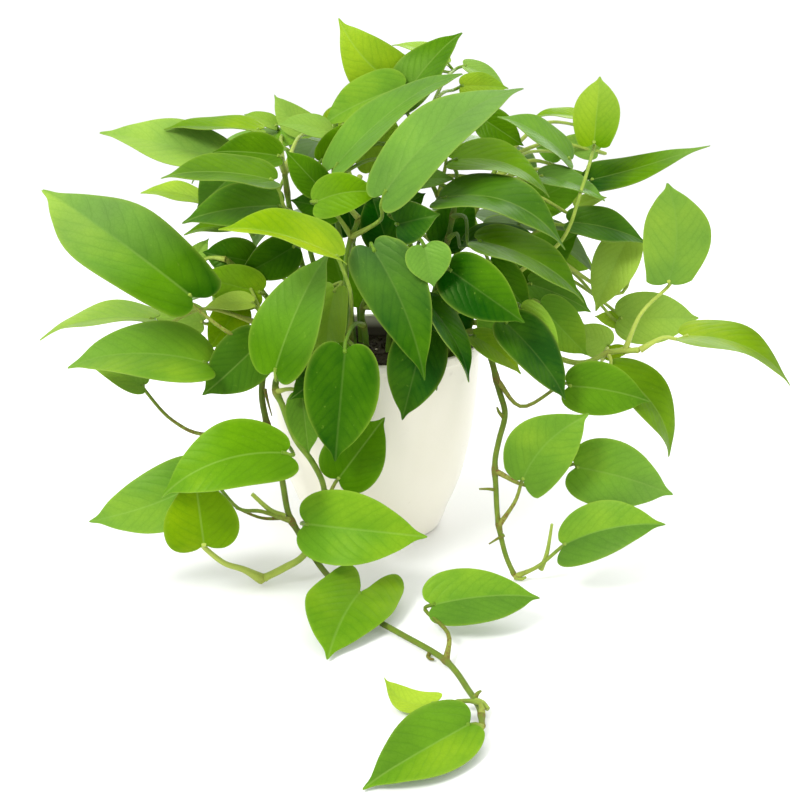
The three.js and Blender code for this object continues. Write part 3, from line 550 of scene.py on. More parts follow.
def buildSoil():
    look = soilLook
    rng = random.Random(look.seed)
    top, reach = look.top, soilRadius(look.top) - 0.3
    base = potLook.floor + look.gap
    profile = [(0, base), *[(soilRadius(z) - 0.2, z) for z in (base, *np.linspace(17, 100, 9))]]
    profile += [*[(reach * share, top) for share in np.linspace(1, 0.02, look.rings)], (0, top)]
    places, faces = lathe(profile, look.sides)
    high = places[:, 2] > top - 0.5
    places[high, 2] = soilHeight(places[high, 0], places[high, 1])
    body, crumbs = MeshParts(), MeshParts()
    body.add(places, faces)
    for k in range(look.crumbs + look.grains):
        pale = k >= look.crumbs
        radius = rng.uniform(*look["grainRadii" if pale else "crumbRadii"])
        turn, away = rng.uniform(0, math.tau), (reach - 3) * math.sqrt(rng.random())
        x, y = away * math.cos(turn), away * math.sin(turn)
        shape, shapeFaces = crumb(rng, radius)
        crumbs.add(shape + (x, y, float(soilHeight(x, y)) + radius * 0.2), shapeFaces, kind=int(pale))
    soilMaterial = makeSoilMaterial("soil_dark", look.wet, look.damp, look.dry)
    grainMaterial = makeSoilMaterial("pale_grain", look.damp, look.grain, look.grain)
    soil = body.object("soil_fill", [soilMaterial], sharpAngle=60)
    loose = crumbs.object("soil_crumbs", [soilMaterial, grainMaterial], sharpAngle=30)
    for piece in (soil, loose):
        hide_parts("soil")
        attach(piece, "root")


buildSoil()
print("stage: the soil is built")

# Leafy stems, each with its leaves and growths after it
stems = []
plainStem = Record(tone=0.42, brown=0.03, brownStalks=(), endSwell=0, endPaler=0, path=[])


# look: the leaf material. root: place in the soil. rise: places in millimetres. path: seen places after the
# rise. brownStalks: the leaves whose stalks are brown. endSwell, endPaler: what the last part gains.
# tone: the stem's own colour, and painted shade that darkens the stems and stalks deep in the crown.
def leafyStem(name, look, root, **more):
    stem = {**plainStem, "name": name, "look": look, "root": root, "leaves": [], "growths": [], **more}
    stems.append(Record(stem))


# base, tip: seen places. wide: the seen width in pixels. at: the share of the stem where the stalk starts.
# look: the tone from dark to light, how yellow, how pale a painted sheen, how much lighter one half is than
# the other in painted light and how much paler the tip is in painted light and sheen; what it leaves out is
# nothing.
# The tone is partly the leaf's own colour and partly painted light and shade: darker deep in the crown, where
# the leaves above shade it, and lighter on leaves that light falls on. via: seen places that the stalk
# passes. In shares of the length, bend bows the blade across the view, arch bows it toward its face and lobe
# deepens the notch. belly moves the widest part toward the tip, skew slides the halves past each other and
# fold is the rise of each half in degrees.
def leaf(base, tip, wide, at, look, **more):
    look = (*look, 0, 0, 0, 0)[:5]
    stems[-1].leaves.append(Record(base=base, tip=tip, wide=wide, at=at, look=look, **more))


# An aerial root or a dry bud sheath: seen places, its radii at both ends and how brown it is
def growth(places, radii, brown):
    stems[-1].growths.append((places, radii, brown))


leafyStem(
    "stem_long_vine", "mid", (-48, -30), tone=0.3, brown=0.3, brownStalks=(1, 6),
    rise=[(-55, -35, 143), (-65, -41, 149)],
    path=[(262, 385, 55), (266, 420, 62), (275, 450, 70), (282, 479, 78), (288, 512, 88), (297, 530, 94),
          (318, 563, 102), (334, 582, 118), (350, 595, 132), (374, 618, 163), (401, 634, 184),
          (430, 650, 204), (446, 661, 218), (457, 673, 232), (467, 688, 246), (475, 700, 259),
          (481, 713, 272), (482, 728, 286)],
)
leaf((206, 363, 100), (66, 366, 112), 58, 0.16, (0.52, 0.15, 0.4, 0, 0.3), via=[(222, 391, 90)], arch=0.12)
leaf((143, 385, 82), (84, 359, 88), 30, 0.24, (0.68, 0.2, 0.7), via=[(207, 442, 80), (172, 420, 80)])
leaf((285, 453, 150), (160, 497, 165), 68, 0.27, (0.43, 0.1, 0.05, 0, 0.2), bend=0.08)
leaf((204, 480, 128), (87, 521, 140), 64, 0.4, (0.49, 0, 0.45, 0, 0.2), via=[(262, 518, 100),
     (238, 508, 114)], arch=0, bend=-0.05)
leaf((306, 524, 135), (428, 537, 150), 74, 0.42, (0.56, 0, 0.15, 0.03))
leaf((360, 592, 152), (328, 658, 212), 86, 0.52, (0.53, 0.05, 0.1), lobe=0.3, arch=0.02, bend=0.04, skew=-0.4,
     belly=-0.1)
leaf((433, 605, 172), (541, 597, 168), 56, 0.77, (0.46, 0, 0.3, 0.09), via=[(448, 638, 196)], arch=0.06,
     bend=0.02, skew=-0.2)
leaf((434, 703, 264), (384, 676, 252), 26, 0.97, (0.9, 0.45, 0.6), via=[(480, 706, 268), (458, 701, 264)],
     arch=-0.04, bend=-0.18)
leaf((470, 724, 288), (362, 787, 336), 68, 1, (0.46, 0.1, 0.15, 0.07), arch=0.01, lobe=0, skew=0.35)
growth([(431, 650, 204), (428, 658, 206), (430, 667, 209), (434, 671, 210)], (1.5, 0.6), 0.8)
growth([(265, 389, 58), (268, 402, 62), (272, 416, 60)], (1.2, 0.4), 0.8)
growth([(476, 702, 261), (482, 703, 264), (488, 709, 268)], (2.2, 1.3), 0.15)
growth([(474, 699, 258), (478, 693, 256), (481, 691, 254)], (1.5, 0.6), 0.5)
growth([(288, 518, 89), (262, 518, 92), (236, 508, 98)], (1.3, 0.8), 0.7)
growth([(284, 516, 92), (270, 510, 96), (252, 494, 98)], (2.0, 1.3), 0.05)

leafyStem(
    "stem_left_vine", "bright", (-32, -47), tone=0.55, brown=0.1, brownStalks=(1,), endSwell=0.45,
    endPaler=0.3, rise=[(-38, -55, 143), (-46, -65, 150)],
    path=[(276, 381, 84), (283, 407, 92), (295, 438, 98), (313, 463, 104), (324, 489, 108),
          (322, 525, 112), (304, 555, 114), (284, 568, 113), (262, 579, 112)],
)
leaf((204, 545, 150), (194, 470, 152), 74, 1, (0.52, 0.6, 0, 0.03), via=[(244, 575, 122), (224, 563, 136)])
leaf((338, 479, 112), (385, 417, 104), 62, 0.7, (0.38,))
leaf((302, 395, 104), (309, 455, 112), 36, 0.35, (0.39, 0.1, 0.3))
growth([(324, 489, 108), (330, 494, 108), (331, 502, 106)], (1.3, 0.5), 0.6)

leafyStem(
    "stem_left_low", "mid", (-54, -12), tone=0.5, brown=0.3, brownStalks=(0,),
    rise=[(-62, -22, 148), (-72, -42, 156), (-76, -62, 156)],
)
leaf((192, 297, 108), (43, 187, 122), 84, 1, (0.48, 0, 0.6, 0.1, 1.3), via=[(232, 340, 96)], fold=8,
     arch=-0.02, belly=0.3, bend=0.02, skew=0.35)
leaf((152, 319, 60), (38, 338, 66), 20, 0.8, (0.7, 0.2, 0.8), arch=0.05, bend=0.03)
leaf((262, 340, 62), (202, 396, 72), 58, 0.6, (0.18, 0, 0.1))
leaf((202, 322, 26), (147, 309, 28), 34, 0.7, (0.9, 0, 1))

leafyStem("stem_left_mid", "deep", (-58, 8), rise=[(-68, 4, 155), (-84, -6, 178), (-98, -12, 192)])
leaf((260, 292, 36), (194, 276, 40), 44, 0.9, (0.55, 0.5, 0.1))
leaf((252, 303, 52), (203, 308, 56), 18, 0.8, (0.95, 0.3, 1))
leaf((240, 306, 46), (208, 350, 52), 38, 0.7, (0.54, 0.7))
leaf((189, 268, 0), (209, 238, -4), 20, 1, (0.7, 0, 0.7))
leaf((254, 262, 8), (202, 252, 4), 42, 0.9, (0.13, 0.1))

leafyStem(
    "stem_left_high", "mid", (-44, 22), tone=0.32, brown=0,
    rise=[(-52, 20, 160), (-68, 12, 205), (-84, 6, 240)],
)
leaf((280, 206, 52), (181, 222, 64), 42, 0.85, (0.26, 0, 0.1))
leaf((246, 227, 40), (183, 234, 44), 16, 0.8, (0.27, 0.5))
leaf((236, 172, 28), (197, 208, 34), 46, 0.95, (0.22, 0, 0.2))
leaf((200, 199, 22), (140, 192, 24), 18, 1, (0.8, 0.3, 0.6))
leaf((224, 158, -14), (99, 130, 0), 44, 1, (0.76, 0, 1, 0, 0.2), arch=0)

leafyStem(
    "stem_top_left", "bright", (-36, -8), tone=0.45, brown=0,
    rise=[(-42, -12, 165), (-52, -22, 215), (-56, -30, 252)],
)
leaf((272, 180, 76), (160, 176, 90), 30, 0.8, (0.32, 0.45, 0, 0, 0.3), via=[(284, 212, 62)], arch=0.06)
leaf((279, 156, 44), (212, 152, 46), 34, 0.95, (0.28, 0.3), fold=26)
leaf((259, 130, -28), (163, 127, -18), 14, 1, (0.5, 0.5), arch=0.02)
leaf((276, 126, -44), (244, 114, -48), 14, 0.9, (0.62, 0.2, 0.6))
leaf((314, 130, -38), (274, 94, -44), 30, 1, (0.75, 0, 1), bend=-0.12)

leafyStem(
    "stem_top_mid", "bright", (-14, 12), tone=0.3, brown=0,
    rise=[(-18, 12, 170), (-26, 8, 230), (-24, 4, 290)],
)
leaf((404, 87, 0), (320, 126, 12), 44, 0.95, (0.57, 0.1, 0.3))
leaf((412, 92, -22), (338, 17, -22), 58, 1, (0.68, 0.45, 0.2, 0.03, 0.2), fold=8, bend=-0.1)
leaf((330, 128, -48), (340, 103, -54), 22, 0.9, (0.68, 0.4, 0.3))
leaf((330, 132, 22), (277, 124, 32), 22, 0.85, (0.72, 0, 0.9))
leaf((322, 160, 32), (346, 122, 26), 26, 0.8, (0.3, 0.3))
leaf((446, 62, -82), (392, 44, -90), 12, 1, (0.9, 0, 0.8))

leafyStem(
    "stem_top_right", "mid", (10, 10), tone=0.3, brown=0, rise=[(14, 8, 170), (22, -2, 230), (28, -8, 275)],
)
leaf((400, 104, 2), (462, 31, -4), 42, 1, (0.33, 0.1, 0.1, 0, -0.4))
leaf((336, 166, 46), (462, 70, 14), 32, 0.8, (0.42, 0, 0.45), belly=0.2, ratio=0.36)
leaf((462, 86, -46), (509, 88, -50), 24, 0.95, (0.62, 0.3, 0.3), arch=0, bend=0.02)
leaf((465, 66, -82), (507, 88, -88), 14, 0.9, (0.7, 0, 0.9), arch=0, bend=0.04)
leaf((345, 150, -8), (381, 113, -14), 28, 0.85, (0.2, 0.1))
leaf((482, 118, 0), (524, 146, 6), 34, 0.75, (0.22, 0.2))

leafyStem(
    "stem_front_high", "mid", (-14, -30), tone=0.38, brown=0,
    rise=[(-16, -38, 160), (-16, -50, 200), (-8, -56, 226)],
)
leaf((384, 194, 96), (524, 85, 70), 56, 0.9, (0.4, 0, 0.75, 0.03, 0.3), via=[(380, 226, 78)], fold=10,
     ratio=0.4, bend=0.04)
leaf((316, 202, 72), (383, 193, 78), 42, 0.8, (0.41, 0.3, 0, 0, -0.3), bend=0.08)
leaf((322, 190, 42), (285, 150, 44), 34, 1, (0.24, 0.1))
leaf((338, 257, 128), (218, 227, 142), 34, 0.3, (0.62, 0.85, 0, 0.05, -0.3), via=[(351, 308, 112)], fold=24)

leafyStem("stem_front_left", "mid", (-34, -28), rise=[(-38, -38, 148), (-46, -54, 162), (-52, -70, 166)])
leaf((275, 371, 116), (328, 251, 98), 64, 1, (0.37, 0, 0.25, 0.05, 0.4))
leaf((335, 290, 84), (328, 379, 84), 40, 0.8, (0.7, 0, 0.4))
leaf((350, 355, 112), (289, 400, 114), 46, 0.6, (0.08, 0.05))

leafyStem(
    "stem_front_mid", "deep", (-4, -50), tone=0.3, brown=0,
    rise=[(-4, -58, 150), (-6, -68, 168), (0, -76, 188)],
)
leaf((373, 249, 104), (425, 382, 124), 66, 1, (0.11, 0, 0.1, 0.03, -0.3), ratio=0.45, bend=0.05, belly=-0.25)
leaf((345, 350, 128), (335, 463, 134), 74, 0.5, (0.09, 0.05, 0, 0.02))
leaf((424, 334, 92), (402, 421, 104), 58, 0.7, (0.07, 0, 0.05))

leafyStem(
    "stem_centre", "deep", (14, -34), tone=0.15, brown=0,
    rise=[(18, -42, 155), (24, -54, 185), (26, -62, 205)],
)
leaf((398, 224, 92), (440, 214, 104), 44, 1, (0.07, 0, 0.05), fold=28)
leaf((424, 246, 112), (434, 287, 118), 46, 0.9, (0.42, 0, 0.5), fold=20)
leaf((394, 212, 74), (426, 193, 70), 26, 1, (0.04,))
leaf((425, 300, 104), (471, 382, 116), 40, 0.7, (0.08,))
leaf((415, 320, 84), (438, 391, 92), 30, 0.5, (0.03,))

leafyStem(
    "stem_right_high", "mid", (32, -18), tone=0.15, brown=0,
    rise=[(38, -24, 160), (48, -36, 205), (54, -44, 240)],
)
leaf((444, 198, 86), (567, 248, 106), 42, 1, (0.22, 0.1, 0.1), arch=0.18)
leaf((466, 242, 68), (551, 252, 76), 24, 0.8, (0.05,), arch=0.12)
leaf((479, 241, 88), (586, 301, 102), 36, 0.85, (0.28, 0.35), arch=0.1)
leaf((402, 184, 64), (456, 179, 70), 26, 0.95, (0.42, 0.1, 0.5))
leaf((455, 160, 66), (551, 196, 62), 38, 1, (0.42, 0.35), arch=0.16)

leafyStem(
    "stem_right_up", "mid", (40, 18), tone=0.5, brown=0.05, rise=[(48, 16, 165), (66, 8, 215), (84, 2, 255)],
)
leaf((594, 143, 20), (600, 76, 22), 46, 0.1, (0.64, 0.3, 0.4, 0.05, 0.5), via=[(538, 286, 36), (562, 240, 42),
     (582, 188, 42)], arch=0.02, belly=0.3)
leaf((585, 119, -62), (531, 117, -60), 10, 1, (0.6, 0.6))
leaf((569, 159, 16), (498, 115, 24), 24, 0.85, (0.45, 0, 0.5))
leaf((597, 151, -30), (560, 137, -34), 24, 0.95, (0.64, 0, 0.8))
leaf((561, 152, -60), (535, 147, -62), 24, 0.9, (0.38, 0, 0.3))
leaf((590, 180, -8), (711, 143, 10), 31, 0.9, (0.34, 0.35, 0, 0, 1.3), ratio=0.34, arch=0, fold=6, belly=-0.7,
     bend=-0.02)
leaf((541, 176, 32), (606, 200, 36), 20, 0.75, (0.38, 0, 0.55))
leaf((576, 206, -14), (607, 197, -16), 14, 0.8, (0.92, 0.1, 0.8))

leafyStem(
    "stem_right_mid", "deep", (30, -42), tone=0.2, brown=0,
    rise=[(36, -52, 150), (46, -66, 166), (56, -76, 174)],
)
leaf((450, 270, 104), (525, 323, 118), 58, 1, (0.12, 0, 0, 0.02))
leaf((505, 322, 92), (567, 400, 100), 46, 0.85, (0.05, 0, 0.05))
leaf((520, 309, 84), (557, 374, 94), 44, 0.9, (0.7, 0, 0.4))
leaf((474, 336, 76), (522, 374, 82), 26, 0.6, (0.6, 0.5, 0.2))

leafyStem("stem_right_back", "mid", (56, 4), rise=[(66, 2, 155), (84, -2, 185), (104, -4, 205)])
leaf((570, 222, 8), (648, 243, 12), 32, 1, (0.22, 0, 0.1))
leaf((628, 238, -4), (595, 312, 2), 44, 1, (0.95, 0.1, 1, 0.04), via=[(618, 300, -8)])
leaf((556, 252, -40), (595, 268, -42), 26, 0.9, (0.55, 0, 0.3))
leaf((608, 346, 2), (568, 328, 4), 34, 0.5, (0.85, 0, 1))
leaf((530, 284, 20), (592, 312, 22), 34, 0.6, (0.3, 0, 0.2))
leaf((540, 306, 36), (588, 356, 40), 46, 0.4, (0.52, 0, 0.3))
leaf((626, 322, -30), (594, 316, -32), 18, 0.7, (0.95, 0.2, 0.6))
leaf((620, 318, -22), (700, 318, -20), 52, 0.8, (0.8, 0.1, 1))

leafyStem(
    "stem_right_low", "bright", (50, -20), tone=0.7, brown=0.08, endSwell=0.1, endPaler=0.1,
    rise=[(60, -26, 148), (76, -34, 152)], path=[(571, 362, 48), (611, 352, 52), (640, 350, 54)],
)
leaf((668, 283, 56), (667, 183, 62), 66, 0.85, (0.58, 0.15, 0.7, 0.02), via=[(641, 318, 54)], fold=8, arch=0,
     bend=0.09, belly=0.35, lobe=-0.04)
leaf((685, 336, 56), (792, 384, 70), 28, 1, (0.46, 1, 0, 0, -0.4), arch=0.14)
leaf((614, 370, 58), (671, 457, 64), 38, 0.8, (0.42, 0.6, 0.05), arch=0.16)
leaf((606, 356, 20), (634, 348, 20), 14, 0.75, (0.62, 0.6, 0.1))

leafyStem(
    "stem_right_vine", "mid", (46, -36), tone=0.4, brown=0.3, brownStalks=(0, 1, 2),
    rise=[(56, -38, 144), (68, -41, 149)],
    path=[(490, 356, 52), (499, 390, 60), (505, 414, 68), (499, 440, 76), (495, 462, 82), (496, 490, 88),
          (498, 520, 94), (505, 553, 98), (515, 577, 102)],
)
leaf((569, 386, 72), (651, 402, 78), 54, 0.42, (0.36, 0.1, 0.1), via=[(522, 411, 70)], arch=0.03, bend=0.04)
leaf((523, 480, 106), (589, 414, 120), 66, 0.86, (0.5, 0.1, 0.4), via=[(515, 505, 98)], bend=0.09, belly=0.18,
     skew=-0.06)
leaf((576, 467, 100), (674, 495, 116), 68, 0.7, (0.5, 0.1, 0.5, 0, 0.3), via=[(530, 490, 94)], arch=0.02,
     bend=0.03)
leaf((564, 545, 118), (666, 524, 134), 54, 1, (0.47, 0, 0.4, 0.18), via=[(538, 570, 108)], bend=0.05,
     skew=0.2)
growth([(504, 418, 69), (499, 412, 70), (497, 407, 70)], (1.5, 0.6), 0.6)
growth([(496, 490, 88), (488, 489, 90), (479, 489, 90)], (1.3, 0.6), 0.6)
growth([(504, 535, 96), (497, 539, 98), (489, 544, 98)], (1.3, 0.5), 0.6)
growth([(541, 569, 104), (547, 553, 108), (552, 524, 110)], (1.9, 0.9), 0.0)
growth([(515, 577, 102), (521, 579, 104), (526, 577, 105)], (1.9, 0.8), 0.1)

leafyStem("stem_far_left", "deep", (-34, 44), bearing=152)
leaf((294, 246, 22), (238, 276, 28), 44, 0.9, (0.2,))
leaf((264, 204, 6), (206, 182, 4), 40, 1, (0.25, 0, 0.1))
leaf((338, 210, 34), (290, 200, 38), 34, 1, (0.07,))

leafyStem("stem_far_mid_left", "deep", (-10, 42), bearing=112)
leaf((388, 246, 40), (370, 190, 34), 44, 0.9, (0,))
leaf((350, 306, 16), (330, 246, 8), 52, 0.7, (0.34,))
leaf((352, 232, 0), (344, 168, -20), 44, 1, (0.06,))

leafyStem("stem_far_mid_right", "deep", (14, 44), bearing=70)
leaf((372, 172, -20), (394, 112, -28), 44, 1, (0.8, 0, 0.3))
leaf((440, 244, 30), (474, 196, 24), 46, 0.9, (0.04,))
leaf((436, 336, 26), (462, 278, 18), 56, 0.7, (0.03,))

leafyStem("stem_far_right", "deep", (38, 42), bearing=30)
leaf((516, 268, -6), (580, 232, -18), 46, 0.9, (0.29,))
leaf((524, 206, -28), (592, 172, -38), 44, 1, (0.43, 0, 0.1))
leaf((506, 348, 40), (478, 298, 34), 46, 0.7, (0.42, 0, 0.1))
leaf((490, 262, 14), (530, 312, 10), 40, 0.8, (0.12,))

# A far stem's rise and outer leaves, turned from its bearing in degrees. Each starts nearer and drops less.
# A fan leaf takes a random tone, a little lime and a little painted sheen.
fan = Record(
    rise=((6, 4, 160), (16, 10, 205)), topBack=4, top=240, length=92, flatShare=0.85, turns=(26, -24, 2),
    heights=(168, 212, 262), start=92, startStep=14, drop=44, dropStep=8, at=0.5, atStep=0.2, arch=0.12,
    tones=(0.3, 0.5), finish=(0.1, 0.2, 0, 0),
)

# Plants: sizes as the solids have them, and how finely the looks are cut
stemSizes = Record(
    radius=2.2, tipRadius=1.6, step=17, fineStep=2.6, sides=12, rootDepth=22, solidRadius=2.2, floorGap=0.4,
    jointSwell=0.32, jointReach=3.2, jointBrown=0.6, endFrom=0.72, endReach=0.2, endGreener=0.8,
    endTaper=0.6, rootDarker=0.1, tipPaler=0.25,
)
growthSizes = Record(points=13, sides=8, floorGap=0.2, tone=0.85, brownDarker=0.5)
stalkSizes = Record(
    radius=1.5, tipRadius=1.15, step=34, fineStep=3.0, sides=8, sheathSwell=0.4, sheathReach=0.13,
    kneeSwell=0.25, kneeAt=0.93, kneeReach=0.045, behind=9, behindShare=0.2, behindDown=0.7, behindBack=0.5,
    viaBow=0.5, endAt=0.12, endLift=0.6, thickFrom=1.6, brown=0.8, brownFade=0.7, startBrown=0.35,
    startReach=0.05, startPaler=0.25, paleReach=0.3, paler=0.12, leafToneShare=0.2, closeEnough=0.9,
    insideBy=1,
)
bladeSizes = Record(
    ratio=0.56, fold=14, arch=0.07, lobe=0.015, solidRows=6, middleBlade=95, smallBlade=58, rowBunching=0.045,
    rows=40, firstRow=0.01, rowSpan=0.982, columns=9, columnBunching=1.25, thickness=0.5, midribDepth=0.55,
    midribWidth=1.1, midribAbove=0.25, midribFade=(1.15, 0.1), wave=0.016, waveTurns=(1.6, 2.6), curl=0.025,
    ripple=0.0016, rippleTurns=(8.5, 1.6), tipDroop=0.03, droopFrom=0.7, droopReach=0.3, foldRound=1.6,
    foldEase=0.55, dripTip=0.3, dripAt=0.93, dripReach=0.06, toneStray=0.02, closeEnough=0.1,
)

# The heart-shaped half outline from the notch to the tip, in shares of the length and of the full width
halfOutline = [
    (0, 0), (-0.05, 0.13), (-0.035, 0.29), (0.06, 0.43), (0.21, 0.5), (0.4, 0.495), (0.58, 0.415),
    (0.745, 0.27), (0.885, 0.115), (1, 0),
]

# The ways in which a stalk bows, and how far a blade is shifted or leaned to clear its neighbours
bows = [
    (0, 0, 0.12), (0, 0, 0.25), (0.14, 0, 0.1), (-0.14, 0, 0.1), (0, -0.15, 0.1), (0, 0.15, 0.1),
    (0, 0, -0.08), (0.2, 0.12, 0.15), (-0.2, 0.12, 0.15), (0.2, -0.15, 0.15), (-0.2, -0.15, 0.15),
    (0, 0.3, 0.2), (0, -0.3, 0.2), (0.32, 0, 0.25), (-0.32, 0, 0.25), (0, 0, 0.42),
]
shifts = [0, 5, -5, 10, -10, 15, -15, 20, -20, 26, -26, 32, -32, 40, -40]
leans = [0, 10, -10, 20, -20]


def bladeFrame(leaf, shift, lean):
    far = leaf.get("far")
    if far is None:
        base, tip = (seen((x, y, near + shift)) for x, y, near in (leaf.base, leaf.tip))
    else:
        base, tip = (leaf[end] + far * shift for end in ("base", "tip"))
    length = float(np.linalg.norm(tip - base))
    along = (tip - base) / length
    middle = (base + tip) / 2
    sight = view.eye - middle
    pixel = (sight[2] * pitchSin - sight[1] * pitchCos) / view.focalPixels
    toward = unit(sight) if far is None else far + up
    facing = unit(toward - along * along.dot(toward))
    side = np.cross(facing, along)
    if side.dot(unit(middle * (1, 1, 0)) * 0.35 + up) < 0:
        side = -side
    seenWidth = leaf.wide * pixel if far is None else bladeSizes.ratio * length
    width = max(leaf.get("ratio", bladeSizes.ratio) * length, seenWidth)
    roll = math.acos(min(seenWidth / width, 1)) + math.radians(lean)
    normal = facing * math.cos(roll) + side * math.sin(roll)
    return Record(
        base=base, along=along, normal=normal, side=side, across=np.cross(normal, along), length=length,
        width=width, leaf=leaf,
    )


# Shares of the length at which rows of places lie, closer together toward both ends
def bunched(i, rows):
    return i / rows - bladeSizes.rowBunching * np.sin(2 * math.pi * i / rows)


# Places on a blade: u runs from the notch to the tip and v from one margin to the other.
def bladePlaces(blade, u, v):
    leaf, length = blade.leaf, blade.length
    heart, half = splineAt(halfOutline, u).T
    full = np.where(heart > 0, np.abs(heart) ** (1 - leaf.get("belly", 0)), heart)
    edge = full - leaf.get("lobe", bladeSizes.lobe) * np.sin(math.pi * np.minimum(u / 0.45, 1))
    spine = u * u * (1.6 - 0.6 * u)
    x = (spine + (edge - spine) * np.abs(v)) * length
    y = v * half * blade.width
    share = np.clip(x / length, -0.1, 1)
    hump = 4 * share * (1 - share) * length
    slope = math.tan(math.radians(leaf.get("fold", bladeSizes.fold)))
    sideways, lift = hump * leaf.get("bend", 0), hump * leaf.get("arch", bladeSizes.arch)
    return x, y, y * leaf.get("skew", 0), sideways, lift, slope


def placeAt(blade, x, y, sideways, lift):
    parts = ((x, "along"), (y, "across"), (sideways, "side"), (lift, "normal"))
    return blade.base + sum(np.multiply.outer(n, blade[way]) for n, way in parts)


def solidPlaces(blade, u, v):
    x, y, slide, sideways, hump, slope = bladePlaces(blade, np.asarray(u, float), np.asarray(v, float))
    return placeAt(blade, x + slide, y, sideways, hump + np.abs(y) * slope)


def stalkPoints(stemLine, blade, bow):
    sizes, leaf = stalkSizes, blade.leaf
    start = stemLine[int(math.floor(leaf.at * (len(stemLine) - 1) + 0.5))]
    reach = float(np.linalg.norm(start - blade.base))
    points = [start, *([seen(p) for p in leaf.via] if "via" in leaf else [(start + blade.base) / 2])]
    points[1] = points[1] + np.array(bow) * (reach * sizes.viaBow if "via" in leaf else reach)
    behind = min(sizes.behind, reach * sizes.behindShare)
    down, back = blade.normal * behind * sizes.behindDown, blade.along * behind * sizes.behindBack
    points.append(blade.base - down - back)
    points.append(solidPlaces(blade, [sizes.endAt], [0])[0] + blade.normal * sizes.endLift)
    return points, reach


def stemPoints(stem):
    start = np.array((*stem.root, soilLook.top + 5.0))
    rise = [np.array(p, float) for p in stem.rise]
    return [start, *rise, *[seen(p) for p in stem.path]]


# A stem's line in so many steps, kept above the surface, with its rooted end
def stemLineIn(stem, steps):
    line = splineAt(stemPoints(stem), np.linspace(0, 1, steps + 1))
    line[:, 2] = np.maximum(line[:, 2], stemSizes.solidRadius + stemSizes.floorGap)
    return np.vstack([(*stem.root, soilLook.top - stemSizes.rootDepth), line])


def bearingWay(degrees):
    return np.array((math.cos(math.radians(degrees)), math.sin(math.radians(degrees)), 0.0))


# A far stem gets its rise and its fan of outer leaves by rule.
def fillFarStem(stem):
    x, y = stem.root
    way = bearingWay(stem.bearing)
    stem["rise"] = [(x + way[0] * right, y + way[1] * back, z) for right, back, z in fan.rise]
    stem.rise.append((x, y + fan.topBack, fan.top))
    for i, (turn, height) in enumerate(zip(fan.turns, fan.heights)):
        far = bearingWay(stem.bearing + turn)
        start = fan.start - i * fan.startStep
        base = far * start + up * height
        tip = far * (start + fan.length * fan.flatShare) + up * (height - fan.drop + i * fan.dropStep)
        at = fan.at + i * fan.atStep
        stem.leaves.append(Record(base=base, tip=tip, far=far, at=at, look=(), arch=fan.arch))


# The solid's mesh tells where each blade and stalk of a stem settled.
def nodeSurface(name):
    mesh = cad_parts[name].data
    places = [v.co.copy() for v in mesh.vertices]
    return BVHTree.FromPolygons(places, [tuple(p.vertices) for p in mesh.polygons])


def distances(surface, places):
    return [surface.find_nearest(Vector(p * mm))[3] / mm for p in places]


# The first try that misses the solid by less than enough, or else the best of all
def settled(tries, enough):
    best = None
    for attempt in tries:
        if best is None or attempt[0] < best[0]:
            best = attempt
        if attempt[0] < enough:
            break
    return best


def bladeTries(surface, leaf):
    for shift in shifts:
        for lean in leans:
            blade = bladeFrame(leaf, shift, lean)
            small = sum(blade.length < bladeSizes[limit] for limit in ("middleBlade", "smallBlade"))
            rows = bladeSizes.solidRows - small
            u = bunched(np.arange(1, rows + 1), rows)
            rim = np.vstack([solidPlaces(blade, u, np.full(rows, v)) for v in (1.0, -1.0)])
            yield float(np.median(distances(surface, rim))), blade


def stalkTries(surface, stemLine, blade):
    for bow in bows:
        points, reach = stalkPoints(stemLine, blade, bow)
        steps = min(max(int(math.floor(reach / stalkSizes.step + 0.5)), 2), 5)
        corners = splineAt(points, np.linspace(0, 1, steps + 1))
        middles = (corners[:-1] + corners[1:]) / 2
        yield float(np.mean(distances(surface, np.vstack([corners[1:-1], middles])))), points, reach


